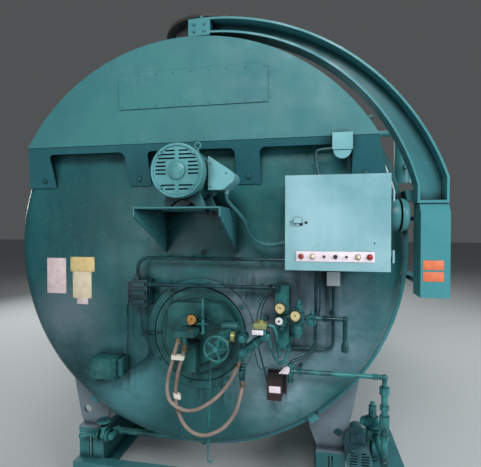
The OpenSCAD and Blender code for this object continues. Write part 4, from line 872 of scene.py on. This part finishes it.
bm = bmesh.new()
rim = [
    (motor_r - 0.02, -0.010), (motor_r - 0.014, 0.001), (motor_r - 0.006, 0.002),
    (motor_r - 0.001, -0.004), (motor_r - 0.001, -0.036), (motor_r - 0.02, -0.036),
]
revolve(bm, rim, looking(motor), 72)
plug = [
    (0.0, 0.006), (0.03, 0.006), (0.036, 0.003),
    (0.043, 0.001), (0.043, -0.004), (0.0, -0.004),
]
revolve(bm, plug, looking(motor), 48)
piece("motor_rim", bm, MOTOR, "front_head")

# %% [markdown]
# ## Motor screws
#
# Four screws hold the bell, three the plug and three the lid of the terminal box. Copies of
# one object would do, but one mesh keeps the pieces few. They were painted over together with
# the motor, so they share its coat.


# %% Screws
def round_point(centre, radius, degrees):
    """A point on an upright circle that faces the front."""
    a = math.radians(degrees)
    return centre + Vector((math.cos(a), 0.0, math.sin(a))) * radius


bm = bmesh.new()
for k in range(4):
    bolt(bm, round_point(motor, motor_r - 0.017, 45 + 90 * k) + OUT * 0.001, 0.007)
for k in range(3):
    bolt(bm, round_point(motor + OUT * 0.006, 0.024, 90 + 120 * k), 0.003)
box_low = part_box("terminal_box")[0]
for x, z in ((0.035, 0.15), (0.035, 0.03), (0.115, 0.1)):
    bolt(bm, (box_low.x + x, box_low.y, box_low.z + z), 0.004)
piece("motor_screws", bm, MOTOR, "front_head")

# %% [markdown]
# ## Motor conduit
#
# The motor's wires run to the cabinet in a flexible metal conduit, a tube with ribs. The ribs
# could be a bump, but they show in the outline. So each is a thin disc on the tube, square to
# its line, and a hex nut closes each end. The piece replaces the plain CAD tube.

# %% Conduit with ribs and nuts
LEAD = (
    (0.258, -0.400, 1.9617), (0.258, -0.400, 1.946), (0.272, -0.388, 1.915),
    (0.308, -0.352, 1.872), (0.345, -0.310, 1.818), (0.367, -0.280, 1.760),
    (0.402, -0.262, 1.712), (0.460, -0.258, 1.687), (0.520, -0.260, 1.692),
    (0.548, -0.260, 1.698), (0.5657, -0.260, 1.698),
)
LEAD_R, RIB_R, NUT_R = 0.0122, 0.0136, 0.0175

bm = bmesh.new()
lead = spline(LEAD)
tube(bm, lead, LEAD_R, 20)
for rib, after in zip(lead[3:-3], lead[4:-2]):
    half = (after - rib).normalized() * 0.0012
    drum(bm, rib - half, rib + half, RIB_R, 20)
for end, inner in ((lead[0], lead[2]), (lead[-1], lead[-3])):
    along = (inner - end).normalized()
    drum(bm, end + along * 0.002, end + along * 0.02, NUT_R, 6)
made = piece("motor_conduit", bm, TEAL, "front_head", 60.0)
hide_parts("motor_lead")
print(f"conduit {length_of(lead):.2f} m long")

# %% [markdown]
# ## Shelf bolts
#
# Under the motor's shelf hang the nuts and ends of the four bolts that hold the motor. A
# thread could be modelled, but it is in shadow, so a six-sided and a round drum do.

# %% Nuts and bolt ends
bm = bmesh.new()
nut_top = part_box("motor_shelf")[1].z - 0.008
for x in (-0.112, 0.161):
    for y in (-0.43, -0.30):
        drum(bm, (x, y, nut_top), (x, y, nut_top - 0.009), 0.011, 6)
        drum(bm, (x, y, nut_top - 0.009), (x, y, nut_top - 0.024), 0.006, 16)
piece("shelf_bolts", bm, PIPE, "front_head")

# %% [markdown]
# ## Indicator strip
#
# Below on the cabinet's door is a pale strip with lamps, buttons and a knob. The CAD strip is
# one plain plate, and its lamps could be painted on. But a lens needs a dome to catch light,
# so the strip is rebuilt with bezels and lenses. Lenses of one colour share a mesh.

# %% Strip
STRIP_THICK = 0.003
strip_low, strip_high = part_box("indicator_panel")
DOOR = strip_high.y

bm = bmesh.new()
front = (strip_low.x, DOOR - STRIP_THICK, strip_low.z)
brick(bm, front, (strip_high.x, DOOR, strip_high.z), 0.001)
strip = piece("indicator_strip", bm, STRIP, "panel_door")
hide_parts("indicator_panel")

# %% Bezels and lenses
# Each lamp: its place along the strip, its radius and its kind.
LAMPS = (
    (0.024, 0.014, "red"), (0.079, 0.014, "clear"), (0.134, 0.007, "maroon"),
    (0.188, 0.011, "knob"), (0.240, 0.007, "maroon"), (0.293, 0.014, "clear"),
    (0.347, 0.015, "red"),
)
LENS = {"red": LAMP_RED, "clear": LAMP_CLEAR, "maroon": LAMP_DARK, "knob": KNOB}

middle = (strip_low.z + strip_high.z) / 2
bezels = bmesh.new()
lenses = {kind: bmesh.new() for kind in LENS}
for x, r, kind in LAMPS:
    place = looking((strip_low.x + x, DOOR - STRIP_THICK, middle))
    bezel = [(r, 0.0), (r, 0.003), (r * 0.86, 0.005), (r * 0.8, 0.003), (r * 0.8, 0.0)]
    revolve(bezels, bezel, place)
    dome = [(r * 0.8, 0.001), (r * 0.8, 0.008), (r * 0.62, 0.013), (r * 0.34, 0.016)]
    revolve(lenses[kind], dome + [(0.0, 0.017)], place)
piece("lamp_bezels", bezels, STEEL, "panel_door")
for kind, bm in lenses.items():
    piece("lamps_" + kind, bm, LENS[kind], "panel_door", 30.0)

# %% [markdown]
# ## Door latch
#
# The door has a slotted latch, a turning lock and a small screw. Slots could be cut into the
# door, but then the door would need a new mesh. Four thin dark bars and two strips are painted
# shade in place of the slots, and two drums make the lock and the screw.

# %% Latch, lock and screw
LATCH = Vector((0.604, DOOR, 1.807))
MARK = 0.0006


def door_mark(bm, left, bottom, right, top):
    """A thin box on the door, at offsets from the latch."""
    low = (LATCH.x + left, DOOR - MARK, LATCH.z + bottom)
    brick(bm, low, (LATCH.x + right, DOOR, LATCH.z + top))


bm = bmesh.new()
# Painted shade in place of the latch's slots.
for k in range(4):
    door_mark(bm, 0.0085 * k, -0.011, 0.0085 * k + 0.0025, 0.011)
door_mark(bm, 0.002, -0.016, 0.052, -0.0145)
door_mark(bm, 0.046, -0.013, 0.062, 0.002)
for x, z, r, stand in ((0.682, LATCH.z + 0.002, 0.0062, 0.004), (1.002, 1.71, 0.0032, 0.002)):
    drum(bm, (x, DOOR, z), (x, DOOR - stand, z), r)
piece("door_latch", bm, DARK_STEEL, "panel_door")

# %% [markdown]
# ## Gauges
#
# Pressure gauges draw the eye: a brass bezel, a pale dial, plain ticks and a pointer. A
# picture on a disc would be quick, but it blurs when seen close. One function turns and
# places real parts instead, and makes all three.


# %% A gauge
def gauge(name, point, r, face_material, angle):
    """A small pressure gauge that stands on point, its pointer at an angle in radians."""
    place = looking(point)

    def on_dial(turn, reach, height):
        """A point over the dial."""
        return place @ Vector((math.cos(turn) * reach, math.sin(turn) * reach, height))

    bm = bmesh.new()
    bezel = [(r, -0.004), (r, 0.005), (r * 0.95, 0.008), (r * 0.88, 0.007), (r * 0.86, 0.004)]
    revolve(bm, bezel, place)
    piece(name + "_bezel", bm, BRASS, "front_head")
    bm = bmesh.new()
    revolve(bm, [(r * 0.87, 0.001), (r * 0.87, 0.003), (0.0, 0.003)], place)
    piece(name + "_face", bm, face_material, "front_head")

    bm = bmesh.new()
    for k in range(11):
        turn = math.radians(-45 + 27 * k)
        tick = on_dial(turn, r * 0.72, 0.0034), on_dial(turn, r * 0.82, 0.0034)
        drum(bm, *tick, r * 0.015, 6)
    tail, tip = on_dial(angle, -r * 0.2, 0.0042), on_dial(angle, r * 0.66, 0.0042)
    drum(bm, tail, tip, r * 0.04, 8, r * 0.01)
    revolve(bm, [(r * 0.1, 0.003), (r * 0.1, 0.006), (0.0, 0.006)], place, 20)
    piece(name + "_marks", bm, INK, "front_head")


# %% Three gauges
gauge("burner_gauge_dial", (0.043, -0.330, AXIS_Z - 0.395), 0.032, DIAL, 2.2)
gauge("air_gauge_left", (0.545, -0.366, AXIS_Z - 0.304), 0.030, CREAM_DIAL, 2.6)
gauge("air_gauge_right", (0.626, -0.366, AXIS_Z - 0.342), 0.030, CREAM_DIAL, 2.0)

# %% [markdown]
# ## Bare plates
#
# Four plates are riveted to the head and two to the davit's housing, all of them blank. A
# plate could be paint on the head, but its edge throws a thin shadow. So each is a sheet with
# rounded edges, and those on the head have four rivets. Places are offsets from the axis.

# %% Plates on the head
SHEET = 0.002
INSET = 0.008
PLATES = (
    ("plate_left", PLATE_PINK, (-1.010, -0.308), (-0.872, -0.076)),
    ("plate_upper", PLATE_YELLOW, (-0.839, -0.162), (-0.668, -0.067)),
    ("plate_lower", PLATE_CREAM, (-0.823, -0.335), (-0.690, -0.163)),
    ("plate_tab", PLATE_PINK, (-0.794, -0.374), (-0.715, -0.335)),
)


def on_head(x, z, stand=0.0):
    """A point given by its offset from the axis and its distance from the head."""
    return Vector((x, FACE - stand, AXIS_Z + z))


rivets = bmesh.new()
for name, material, low, high in PLATES:
    bm = bmesh.new()
    brick(bm, on_head(*low, SHEET), on_head(*high), 0.0006)
    made = piece(name, bm, material, "front_head")
    if name == "plate_left":
        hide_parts("data_plates")
    for x in (low[0] + INSET, high[0] - INSET):
        for z in (low[1] + INSET, high[1] - INSET):
            dome = [(0.004, 0.0), (0.003, 0.002), (0.0, 0.0026)]
            revolve(rivets, dome, looking(on_head(x, z, SHEET)), 16)
piece("plate_rivets", rivets, STEEL, "front_head")

# %% Plates on the davit's housing
housing_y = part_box("davit_housing")[0].y
bm = bmesh.new()
for z in (1.504, 1.564):
    brick(bm, (1.280, housing_y - 0.0015, z), (1.381, housing_y, z + 0.050), 0.0005)
piece("housing_plates", bm, PLATE_ORANGE, "boiler")

# %% [markdown]
# ## Burner plate and its collar
#
# The burner sits in a round plate inside a welded collar. One CAD node holds both, and one
# material could cover it. But the collar is painted like the head, while the plate is oilier
# and darker, so each is turned as a piece of its own. The collar takes the node's place.

# %% Collar
COLLAR_THICK = 0.010
low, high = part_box("burner_ring")
burner = Vector(((low.x + high.x) / 2, FACE, (low.z + high.z) / 2))
collar_r = (high.x - low.x) / 2
plate_d = FACE - low.y
print(f"collar {2000 * collar_r:.0f} mm across, plate {1000 * plate_d:.0f} mm proud")

bm = bmesh.new()
rim = [
    (0.289, 0.0), (0.289, 0.008), (0.291, COLLAR_THICK),
    (collar_r - 0.003, COLLAR_THICK), (collar_r, 0.007), (collar_r, 0.0),
]
revolve(bm, rim, looking(burner), 96)
collar = piece("burner_collar", bm, HEAD, "front_head")
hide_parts("burner_ring")

# %% Plate
bm = bmesh.new()
disc = [
    (0.284, 0.0), (0.284, plate_d - 0.004), (0.280, plate_d), (0.246, plate_d),
    (0.244, plate_d - 0.002), (0.240, plate_d - 0.002), (0.238, plate_d), (0.0, plate_d),
]
revolve(bm, disc, looking(burner), 96)
piece("burner_plate", bm, DEEP, "front_head")

# %% [markdown]
# ## Bolts and painted shade in the gaps
#
# Bolts hold the legs of the casing's apron and the burner's collar. The apron slopes, so its
# bolts lean with it. A real hole has a dark gap round its bolt, and the burner's plate a dark
# joint round its edge. Shadow alone is too weak there, so both get thin dark rings of painted
# shade.

# %% Casing and collar bolts
APRON_SLOPE = Vector((0.0, -0.94, -0.34)).normalized()
APRON_BOLTS = [
    Vector((x, COVER + 0.078, AXIS_Z + 0.428)) for x in (-1.002, -0.3425, 0.3425, 1.002)
]

bm = bmesh.new()
for point in APRON_BOLTS:
    bolt(bm, point, 0.014, APRON_SLOPE)
for k in range(8):
    bolt(bm, round_point(burner, 0.312, 33.5 + 45 * k) + OUT * COLLAR_THICK, 0.009)
piece("casing_bolts", bm, DEEP, "front_head")

# %% Painted shade in the gaps
bm = bmesh.new()
for point in APRON_BOLTS:
    drum(bm, point - APRON_SLOPE * 0.001, point + APRON_SLOPE * 0.0012, 0.026)
joint = [(0.2845, 0.0), (0.2845, 0.0012), (0.2888, 0.0012), (0.2888, 0.0)]
revolve(bm, joint, looking(burner), 96)
piece("painted_gap_shade", bm, GAP_SHADE, "front_head")

# %% [markdown]
# ## Screws of the cover and bolts of the arm
#
# The access cover in the casing is held by two rows of small round screws, and four hex bolts
# join the casing's hanger to the davit's arm. An array modifier would repeat them too. A loop
# does the same inside one mesh, and takes its ends from the CAD boxes.

# %% Cover screws
cover_low, cover_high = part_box("access_cover")
bm = bmesh.new()
for k in range(9):
    x = cover_low.x + 0.02 + k * (cover_high.x - cover_low.x - 0.04) / 8
    for z in (cover_low.z + 0.014, cover_high.z - 0.014):
        screw = [(0.006, 0.0), (0.005, 0.003), (0.0, 0.004)]
        revolve(bm, screw, looking((x, cover_low.y, z)), 16)
piece("cover_screws", bm, CASING, "front_head")

# %% Hanger bolts
arm_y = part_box("davit_arm")[0].y
bm = bmesh.new()
for x in (0.035, 0.095):
    for z in (1.262, 1.302):
        bolt(bm, (x, arm_y, AXIS_Z + z), 0.008)
piece("hanger_bolts", bm, ARM, "front_head")

# %% [markdown]
# ## Thin tubing
#
# Sensing tubes, air tubes and wires run over the head between its boxes, 6 to 17 mm thick.
# They could be drawn as curves by hand. Instead each is a route of corner points, as a bender
# would use it, with every corner rounded at 50 mm, and all share one mesh.

# %% Routes
BEND_R = 0.05
CONDUIT, TUBE, WIRE = 0.0085, 0.0045, 0.003
RUNS = (
    (CONDUIT, ((0.818, -0.272, 2.213), (0.736, -0.272, 2.205), (0.726, -0.272, 2.178),
               (0.747, -0.272, 2.034))),
    (CONDUIT, ((0.734, -0.22, 1.582), (0.734, -0.22, 1.30), (0.734, -0.19, 1.124),
               (0.713, -0.19, 1.083), (0.675, -0.2, 1.047), (0.596, -0.25, 1.030))),
    (TUBE, ((0.757, -0.22, 1.582), (0.757, -0.22, 1.34), (0.748, -0.26, 1.30))),
    (CONDUIT, ((0.832, -0.175, 1.46), (0.832, -0.175, 1.087), (0.530, -0.175, 1.087))),
    (TUBE, ((-0.335, -0.20, 1.312), (-0.329, -0.19, 1.218), (-0.323, -0.19, 1.156),
            (-0.297, -0.19, 1.108), (-0.272, -0.20, 1.048), (-0.272, -0.20, 0.992),
            (-0.337, -0.20, 0.946), (-0.440, -0.20, 0.880))),
    (TUBE, ((-0.330, -0.21, 1.312), (-0.318, -0.2, 1.200), (-0.288, -0.2, 1.108),
            (-0.262, -0.21, 1.048), (-0.262, -0.21, 0.985), (-0.337, -0.21, 0.930),
            (-0.440, -0.21, 0.872))),
    (TUBE, ((-0.400, -0.19, 1.350), (-0.419, -0.19, 1.30), (-0.419, -0.19, 1.084),
            (-0.427, -0.19, 0.958), (-0.440, -0.19, 0.930))),
    (TUBE, ((-0.150, -0.225, 1.440), (-0.128, -0.225, 1.39), (-0.121, -0.225, 1.322),
            (-0.131, -0.21, 1.261), (-0.112, -0.20, 1.202), (-0.109, -0.195, 1.150))),
    (TUBE, ((-0.345, -0.172, 1.126), (-0.200, -0.172, 1.132))),
    (WIRE, ((0.480, -0.225, 1.440), (0.452, -0.25, 1.40), (0.420, -0.30, 1.340),
            (0.418, -0.36, 1.278))),
    (WIRE, ((0.492, -0.225, 1.440), (0.468, -0.25, 1.40), (0.440, -0.30, 1.345),
            (0.438, -0.36, 1.278))),
    (TUBE, ((0.420, -0.36, 1.170), (0.420, -0.30, 1.120), (0.445, -0.26, 0.990),
            (0.484, -0.21, 0.800))),
    (WIRE, ((0.400, -0.36, 1.150), (0.405, -0.30, 1.060), (0.418, -0.28, 1.000),
            (0.440, -0.28, 0.982), (0.466, -0.28, 1.004))),
)
print("runs of tubing:", len(RUNS))

# %% Tubes
bm = bmesh.new()
for r, run in RUNS:
    tube(bm, bend_line(run, BEND_R), r)
piece("sensing_tubes", bm, PIPE, "front_head", 60.0)

# %% [markdown]
# ## Alarm bell
#
# A bell on the cabinet's side rings when the burner fails: a shallow drum with a domed gong
# before it. A squashed sphere would be near, but lacks the rolled rim. So both are turned
# forms, on an axis that points to the right.

# %% Bell
cabinet_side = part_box("control_cabinet")[1].x
side = looking((cabinet_side, -0.335, 1.849), (1.0, 0.0, 0.0))
base = [(0.0, 0.0), (0.078, 0.0), (0.080, 0.006), (0.080, 0.042), (0.074, 0.048), (0.0, 0.048)]
gong = [
    (0.070, 0.054), (0.083, 0.054), (0.084, 0.060), (0.082, 0.072),
    (0.074, 0.084), (0.056, 0.092), (0.030, 0.096), (0.0, 0.097),
]
bm = bmesh.new()
revolve(bm, base, side, 64)
revolve(bm, gong, side, 64)
drum(bm, side @ Vector((0, 0, 0.046)), side @ Vector((0, 0, 0.058)), 0.012)
piece("alarm_bell", bm, TEAL, "front_head")

# %% [markdown]
# ## Lifting eye and conduit clip
#
# An eye on a short stud helps to lift the head off, and a clip keeps the upper conduit in
# place. Blender has a torus for such an eye, but the tube that is already here makes one from
# a line that goes round once.

# %% Eye and clip
eye = Vector((0.066, FACE - 0.026, 1.634))
clip = Vector((0.022, FACE - 0.075, AXIS_Z - 0.059))
bm = bmesh.new()
drum(bm, (eye.x, FACE, eye.z), (eye.x, FACE - 0.014, eye.z), 0.006, 16)
tube(bm, [round_point(eye, 0.012, 15 * k) for k in range(25)], 0.0035, 10)
drum(bm, clip - Vector((0.008, 0, 0)), clip + Vector((0.008, 0, 0)), 0.0135, 24)
drum(bm, clip + Vector((0, 0, 0.008)), clip + Vector((0, 0, 0.026)), 0.005, 12)
piece("head_eye_and_clip", bm, PIPE, "front_head")

# %% [markdown]
# ## Regulator knob
#
# The left air regulator is set with a pale knob that has a dark hole in its middle. A dark
# spot on a flat knob would look painted. So the profile goes down into a hollow, and a black
# disc at its bottom is painted shade that reads as depth.

# %% Knob and its hole
knob = looking(on_head(0.538, -0.378, 0.198))
grip = [
    (0.0205, 0.004), (0.0205, 0.010), (0.017, 0.013),
    (0.006, 0.013), (0.006, 0.007), (0.0, 0.007),
]
bm = bmesh.new()
revolve(bm, grip, knob, 40)
piece("regulator_knob", bm, WHITE_KNOB, "front_head")
# A black disc at the bottom of the hollow: painted shade.
bm = bmesh.new()
revolve(bm, [(0.0061, 0.0072), (0.0061, 0.0076), (0.0, 0.0076)], knob, 24)
piece("knob_hole_shade", bm, KNOB, "front_head")

# %% [markdown]
# ## Brass on the fuel valves
#
# The pilot solenoid has a brass cap with a nut, and the wheel valve a brass union and a drain
# plug, all gone green. They could be slots of the valves' own meshes, but the CAD nodes have
# one material each. So they are one small piece that sits on the line through the valves.

# %% Solenoid cap, union and plug
valves = on_head(0.0, -0.463, 0.240)
bm = bmesh.new()
brick(bm, (0.4085, valves.y - 0.0335, 1.252), (0.4775, valves.y + 0.0335, 1.2815), 0.002)
drum(bm, (0.443, valves.y, 1.281), (0.443, valves.y, 1.293), 0.017, 6)
drum(bm, (0.2832, valves.y, valves.z), (0.3048, valves.y, valves.z), 0.0275)
plug = Vector((0.266, valves.y - 0.031, valves.z - 0.018))
drum(bm, plug, plug + OUT * 0.009, 0.012, 6)
piece("solenoid_cap", bm, PALE_BRASS, "front_head")

# %% [markdown]
# ## Ribs and nuts of the fuel manifold
#
# Cast fittings are screwed together, and their collars show as ribs. They could be part of a
# turned pipe, but the pipe is a CAD node and stays. So thin discs stand on the slanting pipe
# and on the drop pipe, and two hex caps close the manifold's front.

# %% Manifold ribs
MANIFOLD_LOW = Vector((0.354, valves.y, 1.121))
MANIFOLD_HIGH = Vector((0.471, valves.y, 1.212))
half = (MANIFOLD_HIGH - MANIFOLD_LOW).normalized() * 0.0025

bm = bmesh.new()
for x, z, r in ((0.350, 1.197, 0.031), (0.354, 1.121, 0.029)):
    cap = [(r * 0.7, 0.0), (r * 0.66, 0.008), (r * 0.4, 0.011), (0.0, 0.012)]
    revolve(bm, cap, looking((x, valves.y - 0.0415, z)), 6)
for share in (0.28, 0.36, 0.44, 0.68, 0.76):
    middle = MANIFOLD_LOW.lerp(MANIFOLD_HIGH, share)
    drum(bm, middle - half, middle + half, 0.0235, 28)
for z in (1.012, 1.030, 1.046):
    drum(bm, (0.345, valves.y, z), (0.345, valves.y, z + 0.007), 0.0185, 28)
piece("manifold_ribs", bm, VALVE, "front_head")

# %% [markdown]
# ## Small labels
#
# The solenoid and the transformer carry blank labels, and a tag hangs under the regulators.
# Planes would vanish when seen from behind, so the labels are thin boxes. The tag isn't
# square: its outline is drawn once in front and once behind, and the two are bridged.

# %% Labels
bm = bmesh.new()
brick(bm, (0.402, -0.4255, 1.222), (0.462, -0.4235, 1.247), 0.0006)
brick(bm, (0.477, -0.2815, 0.860), (0.541, -0.2795, 0.897), 0.0006)
piece("small_labels", bm, STRIP, "front_head")

# %% Paper tag
TAG = ((0.528, 0.963), (0.590, 0.963), (0.590, 1.010), (0.560, 1.000))
bm = bmesh.new()
for y in (-0.262, -0.2605):
    bm.faces.new([bm.verts.new((x, y, z)) for x, z in TAG])
bmesh.ops.bridge_loops(bm, edges=bm.edges)
piece("paper_tag", bm, STRIP, "front_head")

# %% [markdown]
# ## Floor
#
# A plain pale floor takes the boiler's shadow, and nothing on it draws the eye. A curved
# backdrop would hide the horizon too, but would stand in the way of views from behind. So the
# floor is one square, with its one colour on the shader itself, and so wide that no edge is
# near.

# %% Floor
FLOOR_HALF = 45.0
bm = bmesh.new()
bmesh.ops.create_grid(bm, x_segments=1, y_segments=1, size=FLOOR_HALF)
mesh = bpy.data.meshes.new("floor")
bm.to_mesh(mesh)
bm.free()
floor = bpy.data.objects.new("floor", mesh)
bpy.context.scene.collection.objects.link(floor)
pale_floor, _, shader = start_material("pale_floor", roughness=0.65)
shader.inputs["Base Color"].default_value = linear("#b4b9ba")
mesh.materials.append(pale_floor)
floor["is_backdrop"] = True
print(f"floor {2 * FLOOR_HALF:.0f} m wide")

# %% [markdown]
# ## Light
#
# Plain, soft studio light from panels. The key panel stands in front and above, where a
# softbox would stand, and weaker ones on the right and the left open the shadows. Four more
# light the top, the sides and the back, so that the boiler can be seen all round. A bright
# sky would be simpler, but it fills every corner and takes the depth away, so it is weak.

# %% Panels of light
# Each panel: its place, what it looks at, its size in metres, its watts and its colour.
PANELS = (
    ("key", (0.7, -4.6, 4.8), (0.2, 0.0, 1.7), (2.2, 1.8), 205.0, "#fbfdff"),
    ("right", (4.4, -3.2, 3.2), (0.8, 0.0, 1.9), (1.5, 2.0), 98.0, "#f8faff"),
    ("fill", (-2.4, -5.0, 1.6), (-0.1, 0.0, 1.4), (1.8, 1.8), 30.0, "#f2f7ff"),
    ("low_right", (4.4, -2.6, 2.2), (0.6, -0.1, 1.1), (1.6, 1.6), 50.0, "#f6f2ff"),
    ("top", (0.5, 2.0, 6.5), (0.0, 1.5, 2.0), (4.0, 4.0), 110.0, "#ffffff"),
    ("side", (5.5, 4.0, 4.0), (0.0, 2.5, 1.6), (3.0, 3.0), 150.0, "#ffffff"),
    ("left", (-6.0, 4.5, 3.6), (0.0, 3.4, 1.5), (3.0, 3.0), 190.0, "#ffffff"),
    ("back", (-1.5, 11.5, 3.6), (0.0, 6.0, 1.5), (3.0, 3.0), 300.0, "#ffffff"),
)
for name, place, target, size, watts, colour in PANELS:
    panel = bpy.data.lights.new(name, "AREA")
    panel.shape = "RECTANGLE"
    panel.size, panel.size_y = size
    panel.energy = watts
    panel.color = linear(colour)[:3]
    lamp = bpy.data.objects.new(name, panel)
    lamp.location = place
    lamp.rotation_euler = (Vector(target) - Vector(place)).to_track_quat("-Z", "Y").to_euler()
    bpy.context.scene.collection.objects.link(lamp)
print("panels of light:", len(PANELS))

# %% Sky and view
SKY_STRENGTH = 0.11
sky = bpy.data.worlds.new("studio")
sky.use_nodes = True
background = sky.node_tree.nodes["Background"]
background.inputs["Color"].default_value = linear("#dfe4e6")
background.inputs["Strength"].default_value = SKY_STRENGTH
bpy.context.scene.world = sky
bpy.context.scene.view_settings.view_transform = "Standard"
print("sky strength:", SKY_STRENGTH)

# %% [markdown]
#
# Looks and solids have to agree in size, or the part is of little use. The box could be read
# off in the viewport, but a printed one can be read after each run. So the box of the dressed
# boiler is printed.

# %% Sizes and the end
low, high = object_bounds()
print("dressed box:", [round(v, 3) for v in (*low, *high)])
